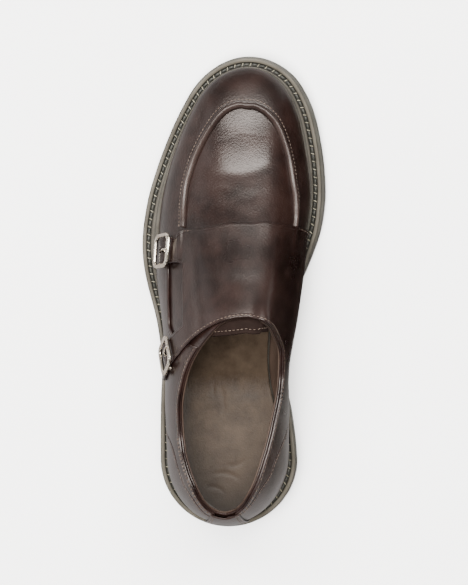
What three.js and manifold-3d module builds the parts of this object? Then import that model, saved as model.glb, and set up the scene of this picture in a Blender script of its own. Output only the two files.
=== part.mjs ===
import * as THREE from "three";
import { mergeVertices } from "three/addons/utils/BufferGeometryUtils.js";
import Module from "manifold-3d";

const wasm = await Module();
wasm.setup();

// A left shoe in millimetres: x grows towards the inner side of the foot, y towards the toe, z up.
// The back of the outsole is at y = 0 and the floor at z = 0 until the whole shoe is centred.
const shoeLength = 302.4;
const ballWidth = 118.7;
const heelWidth = 87.8;
const toeCapLength = 95;
const instepRise = 84.4;
const heelHeight = 18;
const heelBlockLength = 78;
const shankEnd = 150;
const toeSpring = 12;
const toeSpringStart = 205;

// Layers of the bottom, from the floor up
const outsoleThick = 6.5;
const midsoleThick = 4.7;
const weltThick = 3.7;
const insoleThick = 3;
const gap = 0.3;

// Welt section, from its outer edge to the upper
const edgeFlare = 2.8;
const weltReach = 12.5;
const weltBand = 2.4;
const grooveWidth = 2.7;
const grooveDepth = 0.9;
const beadHeight = 1.5;

// Leathers
const upperWall = 2.2;
const apronRecess = 0.7;
const panelThick = 1.4;
const quarterThick = 1.2;
const counterThick = 1.4;
const backstayThick = 1.1;
const tongueThick = 1.5;
const seamWidth = 3.5;
const seamHeight = 2.1;
// Overlays clear the facets of the layer under them by the gap and this much
const facetSag = 0.4;

// Tread, side and breast of the bottom
const treadRound = 2.2;
const treadPitch = 14;
const treadGroove = 4;
const treadDepth = 2;
const treadMargin = 12;
const treadStart = 163;
const treadEnd = 280;
const sideRib = 0.6;
const heelTaper = 1.2;
const breastRadius = 120;
const breastHollow = 3;
const weltRound = 0.6;
const insoleDish = 0.6;

// Where the rulings of the upper end on its ridge, as a share of their own way to the middle
const ridgeShare = 0.75;

// Sections of the outsole: half widths in shares of the width there, centre in shares of the ball
const sole = table(["along", "lateral", "medial", "centre"], [
  [0.000, 0.500, 0.500, 0.000],
  [0.145, 0.500, 0.501, 0.000],
  [0.245, 0.499, 0.462, 0.000],
  [0.311, 0.491, 0.410, 0.000],
  [0.367, 0.474, 0.367, 0.003],
  [0.445, 0.457, 0.338, 0.007],
  [0.513, 0.469, 0.378, 0.011],
  [0.579, 0.495, 0.439, 0.017],
  [0.630, 0.497, 0.478, 0.021],
  [0.685, 0.478, 0.498, 0.023],
  [0.764, 0.452, 0.494, 0.039],
  [0.830, 0.435, 0.497, 0.052],
  [0.896, 0.433, 0.512, 0.068],
  [0.929, 0.446, 0.521, 0.078],
  [0.966, 0.469, 0.529, 0.094],
  [1.000, 0.480, 0.522, 0.105],
]);

// How far the sole edge stands out past the welt, and the upper's line inside the sole edge
const ledge = table(["along", "lateralFlare", "medialFlare", "lateralReach", "medialReach"], [
  [0.00, 0.40, 0.40, 0.61, 0.61],
  [0.10, 0.40, 0.45, 0.74, 0.76],
  [0.30, 0.30, 0.30, 0.66, 0.60],
  [0.42, 0.30, 0.30, 0.68, 0.58],
  [0.52, 0.30, 0.45, 0.84, 0.66],
  [0.60, 0.30, 0.75, 0.98, 0.84],
  [0.68, 0.30, 1.00, 0.90, 0.88],
  [0.78, 0.35, 1.00, 0.76, 0.98],
  [0.88, 0.45, 1.00, 0.72, 1.00],
  [0.96, 0.60, 0.90, 0.74, 0.92],
  [1.00, 0.75, 0.75, 0.80, 0.80],
]);

// Ridge of the last: sideways place in shares of the ball, rise over the welt in shares of the instep
const ridge = table(["along", "across", "rise"], [
  [0.000, 0.000, 0.850],
  [0.140, 0.008, 0.910],
  [0.260, 0.050, 0.930],
  [0.364, 0.095, 0.975],
  [0.450, 0.128, 1.000],
  [0.530, 0.138, 0.885],
  [0.645, 0.142, 0.690],
  [0.720, 0.132, 0.583],
  [0.794, 0.118, 0.472],
  [0.893, 0.105, 0.345],
  [0.960, 0.100, 0.250],
  [1.000, 0.100, 0.180],
]);

// Fullness of the last: sideways push of the wall in shares of the welt's reach, its low belly, and
// how far the flat of the crown reaches out
const fullness = table(["along", "lateralPush", "medialPush", "belly", "lateralCrown", "medialCrown"], [
  [0.00, 0.40, 0.40, 0.22, 1.00, 1.00],
  [0.05, 0.56, 0.56, 0.21, 0.78, 0.76],
  [0.12, 0.72, 0.76, 0.20, 0.60, 0.54],
  [0.20, 0.82, 1.05, 0.21, 0.57, 0.55],
  [0.26, 0.92, 1.40, 0.22, 0.60, 0.64],
  [0.36, 0.95, 2.20, 0.25, 0.68, 0.80],
  [0.45, 0.75, 2.60, 0.28, 0.68, 0.76],
  [0.53, 0.55, 1.60, 0.32, 0.66, 0.73],
  [0.62, 0.45, 0.60, 0.36, 0.66, 0.74],
  [0.72, 0.42, 0.55, 0.38, 0.66, 0.76],
  [0.85, 0.40, 0.50, 0.50, 0.74, 0.80],
  [0.94, 0.38, 0.42, 0.62, 0.86, 0.88],
  [1.00, 0.36, 0.36, 0.72, 0.94, 0.94],
]);

const LATERAL = -1;
const MEDIAL = 1;
const heelRadius = heelWidth / 2;
const toeCapStart = shoeLength - toeCapLength;
const quarterTurn = Math.PI / 2;
const edgeRun = quarterTurn * heelRadius + toeCapStart - heelRadius + quarterTurn * toeCapLength;
const heelShare = quarterTurn * heelRadius / edgeRun;
const toeShare = 1 - quarterTurn * toeCapLength / edgeRun;

// A table with named columns, read as smooth curves of its first column
function table(names, rows) {
  const keys = rows.map((row) => row[0]);
  const columns = {};
  names.slice(1).forEach((name, index) => {
    const values = rows.map((row) => row[index + 1]);
    columns[name] = (key) => smoothValue(keys, values, key);
  });
  columns.lastKey = keys[keys.length - 1];
  return columns;
}

function smoothValue(keys, values, key) {
  const last = keys.length - 1;
  const place = THREE.MathUtils.clamp(key, keys[0], keys[last]);
  let row = 0;
  while (row < last - 1 && place > keys[row + 1]) {
    row += 1;
  }
  const slope = (index) => {
    const before = Math.max(index - 1, 0);
    const after = Math.min(index + 1, last);
    return (values[after] - values[before]) / (keys[after] - keys[before]);
  };
  const span = keys[row + 1] - keys[row];
  const s = (place - keys[row]) / span;
  const rise = values[row + 1] - values[row];
  const startBend = slope(row) * span - rise;
  const endBend = rise - slope(row + 1) * span;
  return values[row] + s * rise + s * (1 - s) * ((1 - s) * startBend + s * endBend);
}

function smoothStep(from, to, value) {
  const s = THREE.MathUtils.clamp((value - from) / (to - from), 0, 1);
  return s * s * (3 - 2 * s);
}

// Place along the sole for a share u of the way round its edge, and how far the end caps have closed
function station(u) {
  if (u < heelShare) {
    const angle = quarterTurn * u / heelShare;
    return { y: heelRadius * (1 - Math.cos(angle)), cap: Math.sin(angle) };
  }
  if (u > toeShare) {
    const angle = quarterTurn * (u - toeShare) / (1 - toeShare);
    return { y: toeCapStart + toeCapLength * Math.sin(angle), cap: Math.cos(angle) };
  }
  const share = (u - heelShare) / (toeShare - heelShare);
  return { y: THREE.MathUtils.lerp(heelRadius, toeCapStart, share), cap: 1 };
}

function soleEdge(side, u) {
  const { y, cap } = station(u);
  const along = y / shoeLength;
  const width = THREE.MathUtils.lerp(heelWidth, ballWidth, smoothStep(0.3, 0.55, along));
  const half = width * (side === LATERAL ? sole.lateral(along) : sole.medial(along));
  return new THREE.Vector2(ballWidth * sole.centre(along) + side * half * cap, y);
}

function edgeNormal(side, u) {
  const step = 1e-3;
  const run = soleEdge(side, u + step).sub(soleEdge(side, u - step));
  return new THREE.Vector2(side * run.y, -side * run.x).normalize();
}

function edgeInset(side, u, inset) {
  return soleEdge(side, u).addScaledVector(edgeNormal(side, u), -inset);
}

function flareAt(side, u) {
  const along = station(u).y / shoeLength;
  return edgeFlare * (side === LATERAL ? ledge.lateralFlare(along) : ledge.medialFlare(along));
}

function reachAt(side, u) {
  const along = station(u).y / shoeLength;
  return weltReach * (side === LATERAL ? ledge.lateralReach(along) : ledge.medialReach(along));
}

// Underside of the outsole: on the heel block, down the shank, flat under the ball, up at the toe
function soleBottom(y) {
  const shank = (heelHeight + gap) * (1 - smoothStep(heelBlockLength, shankEnd, y));
  const spring = Math.max(0, (y - toeSpringStart) / (shoeLength - toeSpringStart));
  return shank + toeSpring * spring * spring;
}

const overlay = gap + facetSag;
const quarterStep = quarterThick + overlay;
const panelFrontU = 0.585;
const midsoleBase = outsoleThick + gap;
const midsoleTop = midsoleBase + midsoleThick;
const weltBase = midsoleTop + gap;
const weltTop = weltBase + weltThick;
const featherRise = weltTop + beadHeight + gap;

// The last: a point of the upper's outer face for a side, a share u round the edge and a share t of
// the way from the welt (0) to the ridge (1). From -1 to 0 the wall stands behind the welt.
function lastPoint(side, u, t) {
  const foot = edgeInset(side, u, reachAt(side, u));
  if (t < 0) {
    const z = soleBottom(foot.y) + THREE.MathUtils.lerp(featherRise, weltBase, -t);
    return new THREE.Vector3(foot.x, foot.y, z);
  }
  const along = station(u).y / shoeLength;
  const middle = shoeLength / 2;
  const ridgeY = middle + (foot.y - middle) * ridgeShare;
  const top = new THREE.Vector2(ballWidth * ridge.across(ridgeY / shoeLength), ridgeY);
  const lateral = side === LATERAL;
  const push = weltReach * (lateral ? fullness.lateralPush(along) : fullness.medialPush(along));
  const crown = lateral ? fullness.lateralCrown(along) : fullness.medialCrown(along);
  const low = foot.clone().addScaledVector(edgeNormal(side, u), push);
  const high = top.clone().lerp(foot, crown);
  const plan = bezier([foot, low, high, top], t);
  const base = soleBottom(plan.y) + featherRise;
  const rise = instepRise * ridge.rise(plan.y / shoeLength);
  const lift = cubic(0, fullness.belly(along), 1, 1, t);
  return new THREE.Vector3(plan.x, plan.y, base + rise * lift);
}

function cubic(a, b, c, d, t) {
  const s = 1 - t;
  return a * s * s * s + 3 * b * s * s * t + 3 * c * s * t * t + d * t * t * t;
}

function bezier([a, b, c, d], t) {
  return new THREE.Vector2(cubic(a.x, b.x, c.x, d.x, t), cubic(a.y, b.y, c.y, d.y, t));
}

// Outward direction of the upper's face; on the ridge both sides share one
function lastNormal(side, u, t) {
  if (t > 0.99) {
    return lastNormal(LATERAL, u, 0.985).add(lastNormal(MEDIAL, u, 0.985)).normalize();
  }
  const along = lastPoint(side, u + 2e-3, t).sub(lastPoint(side, u - 2e-3, t));
  const up = lastPoint(side, u, t + 0.01).sub(lastPoint(side, u, t - 0.01));
  return up.cross(along).multiplyScalar(-side).normalize();
}

function skinPoint(side, u, t, height) {
  return lastPoint(side, u, t).addScaledVector(lastNormal(side, u, t), height);
}

// Share of a ruling that one millimetre along it takes
function shareOfMillimetre(side, u, t) {
  const step = 0.01;
  return 2 * step / lastPoint(side, u, t + step).distanceTo(lastPoint(side, u, t - step));
}

// Solids from here: closed meshes out of rings, plates and joined parts

function solidGeometry(points, triangles) {
  let volume = 0;
  for (const [a, b, c] of triangles) {
    volume += points[a].dot(points[b].clone().cross(points[c]));
  }
  const faces = volume < 0 ? triangles.map(([a, b, c]) => [a, c, b]) : triangles;
  const geometry = new THREE.BufferGeometry();
  geometry.setAttribute("position", new THREE.Float32BufferAttribute(points.flatMap((p) => p.toArray()), 3));
  geometry.setIndex(faces.flat());
  return geometry;
}

// Polygons over numbered places, thickened between an outer and an inner point of each place
function plate(faces, outer, inner) {
  const count = outer.length;
  const triangles = [];
  const open = new Map();
  for (const face of faces) {
    const corners = face.filter((place, index) => place !== face[(index + 1) % face.length]);
    for (let i = 1; i < corners.length - 1; i += 1) {
      triangles.push([corners[0], corners[i], corners[i + 1]]);
      triangles.push([count + corners[0], count + corners[i + 1], count + corners[i]]);
    }
    corners.forEach((from, index) => {
      const to = corners[(index + 1) % corners.length];
      if (!open.delete(`${to} ${from}`)) {
        open.set(`${from} ${to}`, [from, to]);
      }
    });
  }
  for (const [from, to] of open.values()) {
    triangles.push([to, from, count + from], [to, count + from, count + to]);
  }
  return solidGeometry([...outer, ...inner], triangles);
}

// A plate on a grid of rows and columns; a cell that isn't wanted is left open
function gridPlate(rows, columns, pointAt, wanted = () => true) {
  const outer = [];
  const inner = [];
  for (let row = 0; row <= rows; row += 1) {
    for (let column = 0; column <= columns; column += 1) {
      const pair = pointAt(row, column);
      outer.push(pair.outer);
      inner.push(pair.inner);
    }
  }
  const faces = [];
  const place = (row, column) => row * (columns + 1) + column;
  for (let row = 0; row < rows; row += 1) {
    for (let column = 0; column < columns; column += 1) {
      if (wanted(row, column)) {
        faces.push([place(row, column), place(row, column + 1),
          place(row + 1, column + 1), place(row + 1, column)]);
      }
    }
  }
  return plate(faces, outer, inner);
}

function solid(geometry) {
  const bare = geometry.clone();
  bare.deleteAttribute("normal");
  bare.deleteAttribute("uv");
  const merged = mergeVertices(bare);
  return new wasm.Manifold(new wasm.Mesh({
    numProp: 3,
    vertProperties: new Float32Array(merged.attributes.position.array),
    triVerts: new Uint32Array(merged.index.array),
  }));
}

function geometryOf(manifold) {
  const mesh = manifold.getMesh();
  const geometry = new THREE.BufferGeometry();
  geometry.setAttribute("position", new THREE.BufferAttribute(mesh.vertProperties, 3));
  geometry.setIndex(new THREE.BufferAttribute(mesh.triVerts, 1));
  return geometry;
}

// Stations round the shoe, as shares u of the way from the heel to the toe, closer at the throat
const throatU = 0.408;
const throatStations = [0.372, 0.385, 0.395, 0.402, throatU];
const shoeStations = [
  ...evenly(0, heelShare, 6),
  ...evenly(heelShare, 0.355, 4).slice(1),
  ...throatStations,
  ...evenly(throatU, toeShare, 6).slice(1),
  ...evenly(toeShare, 1, 10).slice(1),
];

function evenly(from, to, count) {
  return Array.from({ length: count + 1 }, (_, index) => THREE.MathUtils.lerp(from, to, index / count));
}

// Flat layers of the bottom: rings of points, each pair of stations level across the foot
function ringPoint(side, u, inset, level) {
  const place = edgeInset(side, u, inset(side, u));
  return new THREE.Vector3(place.x, place.y, level(place.y));
}

function ring(us, inset, level) {
  const closed = us[us.length - 1] === 1;
  const lateral = us.map((u) => ringPoint(LATERAL, u, inset, level));
  const medial = us.map((u) => ringPoint(MEDIAL, u, inset, level));
  return [...lateral, ...medial.slice(1, closed ? -1 : undefined).reverse()];
}

function wallFaces(ringCount, size, around) {
  const triangles = [];
  for (let layer = 0; layer < (around ? ringCount : ringCount - 1); layer += 1) {
    const low = layer * size;
    const high = ((layer + 1) % ringCount) * size;
    for (let i = 0; i < size; i += 1) {
      const next = (i + 1) % size;
      triangles.push([low + i, low + next, high + next], [low + i, high + next, high + i]);
    }
  }
  return triangles;
}

function layerGeometry(us, rings) {
  const points = rings.flatMap(([inset, level]) => ring(us, inset, level));
  const size = points.length / rings.length;
  const triangles = wallFaces(rings.length, size, false);
  const lid = (start, flip) => {
    for (let i = 0; i < us.length - 1; i += 1) {
      const corners = [i, i + 1, (size - i - 1) % size, (size - i) % size].map((k) => start + k);
      const face = corners.filter((place, index) => place !== corners[(index + 1) % 4]);
      for (let k = 1; k < face.length - 1; k += 1) {
        triangles.push(flip ? [face[0], face[k + 1], face[k]] : [face[0], face[k], face[k + 1]]);
      }
    }
  };
  lid(0, true);
  lid(size * (rings.length - 1), false);
  return solidGeometry(points, triangles);
}

function outsole() {
  const at = (inset) => () => inset;
  const up = (rise) => (y) => soleBottom(y) + rise;
  const body = solid(layerGeometry(shoeStations, [
    [at(treadRound), up(0)],
    [at(treadRound * 0.3), up(outsoleThick * 0.16)],
    [at(0), up(outsoleThick * 0.36)],
    [at(0), up(outsoleThick * 0.5)],
    [at(sideRib), up(outsoleThick * 0.56)],
    [at(sideRib), up(outsoleThick * 0.66)],
    [at(0), up(outsoleThick * 0.72)],
    [at(sideRib * 0.6), up(outsoleThick)],
  ]));
  return geometryOf(treadBars(body, treadStart, treadEnd));
}

function heel() {
  const heelU = heelShare + (heelBlockLength - heelRadius) / (toeCapStart - heelRadius) * (toeShare - heelShare);
  const at = (inset) => () => inset;
  const up = (z) => () => z;
  const body = solid(layerGeometry(evenly(0, heelU, 12), [
    [at(treadRound + heelTaper), up(0)],
    [at(treadRound * 0.3 + heelTaper), up(1)],
    [at(heelTaper), up(2.4)],
    [at(heelTaper * 0.6), up(heelHeight * 0.5)],
    [at(sideRib + heelTaper * 0.3), up(heelHeight * 0.55)],
    [at(heelTaper * 0.2), up(heelHeight * 0.6)],
    [at(sideRib * 0.6), up(heelHeight)],
  ]));
  const breast = new THREE.CylinderGeometry(breastRadius, breastRadius, heelHeight * 3, 48);
  breast.rotateX(quarterTurn);
  breast.translate(0, heelBlockLength - breastHollow + breastRadius, 0);
  return geometryOf(treadBars(body, treadPitch, heelBlockLength - treadPitch).subtract(solid(breast)));
}

// Cross bars cut into the tread, short of its edges
function treadBars(body, from, to) {
  let cut = body;
  for (let y = from; y <= to; y += treadPitch) {
    const u = nearestStation(y);
    const lateral = edgeInset(LATERAL, u, treadMargin).x;
    const medial = edgeInset(MEDIAL, u, treadMargin).x;
    const bar = new THREE.BoxGeometry(medial - lateral, treadGroove, treadDepth * 2);
    bar.translate((medial + lateral) / 2, y, y < heelBlockLength ? 0 : soleBottom(y));
    cut = cut.subtract(solid(bar));
  }
  return cut;
}

// Share u whose place along the shoe is y
function nearestStation(y) {
  let low = 0;
  let high = 1;
  while (high - low > 1e-6) {
    const middle = (low + high) / 2;
    if (station(middle).y < y) {
      low = middle;
    } else {
      high = middle;
    }
  }
  return low;
}

function midsole() {
  const flare = (share) => (side, u) => flareAt(side, u) * share;
  const up = (rise) => (y) => soleBottom(y) + midsoleBase + rise;
  return layerGeometry(shoeStations, [
    [flare(0.5), up(0)],
    [flare(0.25), up(midsoleThick * 0.2)],
    [flare(0.25), up(midsoleThick * 0.75)],
    [flare(0.5), up(midsoleThick)],
  ]);
}

function welt() {
  const inner = (side, u) => reachAt(side, u) - gap;
  const groove = weltBand + grooveWidth;
  const flare = (more) => (side, u) => flareAt(side, u) + more;
  const bead = (share) => (side, u) => {
    const outer = flareAt(side, u) + groove;
    return THREE.MathUtils.lerp(outer, inner(side, u), share);
  };
  const up = (rise) => (y) => soleBottom(y) + rise;
  const rings = [
    [flare(0), up(weltBase)],
    [flare(0), up(weltTop - weltRound)],
    [flare(weltRound), up(weltTop)],
    [flare(weltBand), up(weltTop)],
    [flare(weltBand), up(weltTop - grooveDepth)],
    [bead(0), up(weltTop - grooveDepth)],
    [bead(0), up(weltTop + beadHeight * 0.5)],
    [bead(0.4), up(weltTop + beadHeight)],
    [bead(1), up(weltTop + beadHeight * 0.6)],
    [bead(1), up(weltBase)],
  ];
  const points = rings.flatMap(([inset, level]) => ring(shoeStations, inset, level));
  return solidGeometry(points, wallFaces(rings.length, points.length / rings.length, true));
}

function insole() {
  const inside = (more) => (side, u) => reachAt(side, u) + upperWall + gap + more;
  const up = (rise) => (y) => soleBottom(y) + weltBase + rise;
  return layerGeometry(shoeStations, [
    [inside(0), up(0)],
    [inside(0), up(insoleThick)],
    [inside(insoleDish * 2), up(insoleThick - insoleDish)],
  ]);
}

// Edge of the collar and throat as a share t of each ruling; past the throat the upper is closed
const collar = table(["u", "lateral", "medial"], [
  [0.000, 0.575, 0.575],
  [0.040, 0.600, 0.615],
  [0.070, 0.620, 0.645],
  [0.105, 0.615, 0.640],
  [0.150, 0.565, 0.605],
  [0.187, 0.515, 0.570],
  [0.216, 0.490, 0.540],
  [0.263, 0.490, 0.500],
  [0.307, 0.545, 0.462],
  [0.332, 0.600, 0.475],
  [0.355, 0.675, 0.510],
  [0.372, 0.740, 0.580],
  [0.385, 0.790, 0.640],
  [0.395, 0.835, 0.690],
  [0.402, 0.895, 0.770],
  [throatU, 1.000, 1.000],
]);

// Line of the apron's seam as a share of the ruling; behind the instep it only spaces the sections
const apron = table(["u", "lateral", "medial"], [
  [0.000, 0.620, 0.620],
  [0.450, 0.560, 0.560],
  [0.585, 0.550, 0.545],
  [0.608, 0.538, 0.560],
  [0.632, 0.530, 0.574],
  [0.656, 0.528, 0.590],
  [0.680, 0.540, 0.599],
  [0.706, 0.556, 0.609],
  [0.734, 0.586, 0.630],
  [0.766, 0.627, 0.660],
  [0.803, 0.680, 0.702],
  [0.840, 0.730, 0.755],
  [0.900, 0.808, 0.822],
  [0.965, 0.870, 0.872],
  [1.000, 0.880, 0.880],
]);

function collarAt(side, u) {
  if (u >= throatU) {
    return 1;
  }
  return side === LATERAL ? collar.lateral(u) : collar.medial(u);
}

function apronAt(side, u) {
  const share = side === LATERAL ? apron.lateral(u) : apron.medial(u);
  return share * collarAt(side, u);
}

// Sections of the upper: rows up each ruling, close on both sides of the apron's line
function upper() {
  const last = shoeStations.length - 1;
  const rows = 9;
  const outer = [];
  const inner = [];
  const places = new Map();
  const rowAt = (side, u) => {
    const seam = apronAt(side, u);
    const edge = collarAt(side, u);
    const step = 0.8 * shareOfMillimetre(side, u, seam);
    const sink = -apronRecess * smoothStep(panelFrontU, panelFrontU + 0.05, u);
    return [
      [-1, 0], [0, 0], [seam * 0.33, 0], [seam * 0.68, 0], [seam - step, 0],
      [seam + step, sink], [seam + (edge - seam) * 0.32, sink], [seam + (edge - seam) * 0.6, sink],
      [seam + (edge - seam) * 0.82, sink], [edge, sink],
    ];
  };
  const place = (side, index, row) => {
    const u = shoeStations[index];
    const shared = index === 0 || index === last || (row === rows && u >= throatU);
    const key = `${shared ? 0 : side} ${index} ${row}`;
    if (!places.has(key)) {
      const [t, height] = rowAt(shared ? LATERAL : side, u)[row];
      const face = shared ? LATERAL : side;
      places.set(key, outer.length);
      outer.push(skinPoint(face, u, t, height));
      inner.push(skinPoint(face, u, t, -upperWall));
    }
    return places.get(key);
  };
  const faces = [];
  for (const side of [LATERAL, MEDIAL]) {
    for (let index = 0; index < last; index += 1) {
      for (let row = 0; row < rows; row += 1) {
        const face = [place(side, index, row), place(side, index + 1, row),
          place(side, index + 1, row + 1), place(side, index, row + 1)];
        faces.push(side === LATERAL ? face : face.reverse());
      }
    }
  }
  return plate(faces, outer, inner);
}

// Raised seam round the apron, over the step in the upper. Its section in shares of its width and
// height, and how far each end of it stays off the panel's front edge
const seamProfile = [[-0.5, 0.45], [-0.25, 1], [0.25, 1], [0.5, 0.4]];
const lateralSeamEnd = 0.012;
const medialSeamEnd = 0.002;
const seamSections = 20;

function apronSeam() {
  const lateral = evenly(panelFrontU + lateralSeamEnd, 1, seamSections);
  const medial = evenly(panelFrontU + medialSeamEnd, 1, seamSections).reverse().slice(1);
  const line = [...lateral.map((u) => [LATERAL, u]), ...medial.map((u) => [MEDIAL, u])];
  return gridPlate(line.length - 1, seamProfile.length - 1, (row, column) => {
    const [side, u] = line[row];
    const [out, rise] = seamProfile[column];
    const seam = apronAt(side, u);
    const t = seam + out * seamWidth * shareOfMillimetre(side, u, seam);
    return {
      outer: skinPoint(side, u, t, overlay + seamHeight * rise),
      inner: skinPoint(side, u, t, overlay),
    };
  });
}

// Places on the upper: v runs across it from the lateral welt (-1) over the ridge (0) to the medial
// welt (1), and height stands off its face
function across(u, v, height) {
  return skinPoint(v < 0 ? LATERAL : MEDIAL, u, 1 - Math.abs(v), height);
}

// Tongue: the end of the vamp's lining that shows behind the throat and runs forward under it
const tongueTable = table(["v", "rear", "front"], [
  [-0.30, 0.378, 0.440],
  [-0.22, 0.376, 0.470],
  [-0.10, 0.374, 0.480],
  [0.00, 0.373, 0.482],
  [0.12, 0.378, 0.480],
  [0.24, 0.384, 0.470],
  [0.33, 0.388, 0.440],
]);

const tongueLateral = -0.3;
// It lies under three layers of facets: its own, the upper's and the panel's
const tongueSag = 2.2;

function tongue() {
  const rows = 12;
  const columns = 5;
  const depth = upperWall + gap + facetSag * tongueSag;
  return gridPlate(rows, columns, (row, column) => {
    const v = THREE.MathUtils.lerp(tongueLateral, tongueTable.lastKey, row / rows);
    const u = THREE.MathUtils.lerp(tongueTable.rear(v), tongueTable.front(v), column / columns);
    return { outer: across(u, v, -depth), inner: across(u, v, -depth - tongueThick) };
  });
}

// Counter seam as a share t of each ruling: quarters end above it and the counter below it
const counterSeam = table(["u", "lateral", "medial"], [
  [0.000, 0.520, 0.550],
  [0.040, 0.530, 0.580],
  [0.055, 0.550, 0.595],
  [0.080, 0.563, 0.600],
  [0.105, 0.536, 0.580],
  [0.137, 0.498, 0.515],
  [0.159, 0.465, 0.492],
  [0.186, 0.413, 0.440],
  [0.212, 0.314, 0.365],
  [0.231, 0.163, 0.295],
  [0.246, 0.030, 0.235],
  [0.270, 0.030, 0.140],
  [0.300, 0.030, 0.030],
]);
const lateralSeamRows = [0.239, 0.231, 0.212, 0.188, 0.162, 0.137, 0.113, 0.09, 0.068, 0.046, 0.024];
const medialSeamRows = [0.285, 0.27, 0.255, 0.24, 0.212, 0.186, 0.16, 0.136, 0.113, 0.09, 0.068, 0.046, 0.024];
const lateralSeamFoot = 0.246;
const medialSeamFoot = 0.3;
const seamFootGap = 0.007;
const hem = 0.015;

function seamAt(side, u, away) {
  const t = side === LATERAL ? counterSeam.lateral(u) : counterSeam.medial(u);
  return t + away * overlay * shareOfMillimetre(side, u, t);
}

// Throat edge of the instep panel on the lateral side, and its lift over the lateral quarter
const throatEdge = table(["row", "u", "v", "lift"], [
  [0, 0.357, -0.435, 1.00],
  [1, 0.372, -0.345, 1.00],
  [2, 0.385, -0.262, 0.70],
  [3, 0.397, -0.172, 0.20],
  [4, 0.405, -0.092, 0.00],
  [5, 0.408, 0.000, 0.00],
]);
// The same edge on along the throat and collar of the medial side, which it follows
const medialEdge = table(["row", "u"], [
  [5, 0.408],
  [6, 0.407],
  [7, 0.403],
  [8, 0.395],
  [9, 0.376],
  [10, 0.355],
  [11, 0.332],
  [12, 0.312],
  [13, 0.295],
  [14, 0.278],
  [15, 0.262],
  [16, 0.245],
  [17, 0.236],
  [18, 0.228],
  [19, 0.220],
  [20, 0.212],
  [21, 0.195],
  [22, 0.177],
  [23, 0.157],
  [24, 0.136],
  [25, 0.113],
  [26, 0.090],
  [27, 0.068],
  [28, 0.046],
  [29, 0.024],
]);
// Front edge of the panel over the instep, then the lower edge along the welt
const frontEdge = table(["row", "u", "v"], [
  [0, 0.574, -0.424],
  [1, 0.577, -0.345],
  [2, 0.583, -0.252],
  [3, 0.594, -0.165],
  [4, 0.602, -0.090],
  [5, 0.605, 0.000],
  [6, 0.600, 0.100],
  [7, 0.586, 0.190],
  [8, 0.575, 0.275],
  [9, 0.567, 0.370],
  [10, 0.561, 0.500],
  [11, 0.556, 0.640],
  [12, 0.553, 0.800],
  [13, 0.550, 1 - hem],
  [14, 0.470, 1 - hem],
  [15, 0.385, 1 - hem],
  [16, medialSeamFoot, 1 - hem],
]);
const panelFoot = frontEdge.lastKey;
const panelRows = panelFoot + medialSeamRows.length;
// Where the two straps leave the panel's cut edge, as shares of it, and the shares across a strap
const rearStrapEnd = 0.19;
const frontStrapStart = 0.68;
const slotShares = [0, 0.4, 0.6, 1];

function panelPlace(row, share) {
  let rear;
  if (row < 5) {
    rear = { u: throatEdge.u(row), v: throatEdge.v(row), lift: throatEdge.lift(row) };
  } else {
    const u = medialEdge.u(row);
    rear = { u, v: 1 - collarAt(MEDIAL, u), lift: 0 };
  }
  let front;
  if (row <= panelFoot) {
    front = { u: frontEdge.u(row), v: frontEdge.v(row) };
  } else {
    const u = medialSeamRows[row - panelFoot - 1];
    front = { u, v: 1 - seamAt(MEDIAL, u, 1) };
  }
  return {
    u: THREE.MathUtils.lerp(rear.u, front.u, share),
    v: THREE.MathUtils.lerp(rear.v, front.v, share),
    lift: quarterStep * rear.lift * (1 - share) ** 2,
  };
}

// Straps, from the panel's cut edge to the tip: rear and front edge, and lift over what they cross
const strapColumns = ["row", "rearU", "rearV", "frontU", "frontV"];
const frontStrap = table(strapColumns, [
  [1.0, 0.5070, -0.450, 0.5620, -0.465],
  [2.0, 0.5070, -0.500, 0.5550, -0.500],
  [2.6, 0.5055, -0.565, 0.5535, -0.565],
  [3.0, 0.5040, -0.600, 0.5520, -0.600],
  [3.4, 0.5030, -0.635, 0.5495, -0.635],
  [4.0, 0.5010, -0.705, 0.5450, -0.705],
  [5.0, 0.4960, -0.790, 0.5380, -0.790],
  [5.6, 0.4960, -0.840, 0.5320, -0.840],
  [6.0, 0.5020, -0.868, 0.5220, -0.868],
]);
const rearStrap = table(strapColumns, [
  [1.0, 0.3500, -0.4780, 0.3900, -0.5050],
  [2.0, 0.3424, -0.5375, 0.3790, -0.5797],
  [3.0, 0.3324, -0.5987, 0.3690, -0.6483],
  [4.0, 0.3215, -0.6631, 0.3574, -0.7109],
  [5.0, 0.3133, -0.7217, 0.3457, -0.7703],
  [5.6, 0.3115, -0.7570, 0.3365, -0.7950],
  [6.0, 0.3155, -0.7780, 0.3275, -0.7950],
]);
// Both straps rise from the quarter over the buckle's centre bar, and pass under its other bars
const strapLift = table(["row", "share"], [
  [1.00, 0.80],
  [2.00, 1.00],
  [2.35, 1.02],
  [2.60, 1.60],
  [2.80, 2.08],
  [3.25, 2.08],
  [3.60, 1.05],
  [4.00, 1.00],
  [6.00, 1.00],
]);
const strapRows = [1, 1.5, 2, 2.35, 2.6, 2.8, 3.25, 3.6, 4, 5, 5.6, 6];
const slotRows = [2.6, 3.25];
const barRow = 3;

function strapPlace(strap, row, share) {
  return {
    u: THREE.MathUtils.lerp(strap.rearU(row), strap.frontU(row), share),
    v: THREE.MathUtils.lerp(strap.rearV(row), strap.frontV(row), share),
    lift: quarterStep * strapLift.share(row),
  };
}

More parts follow.
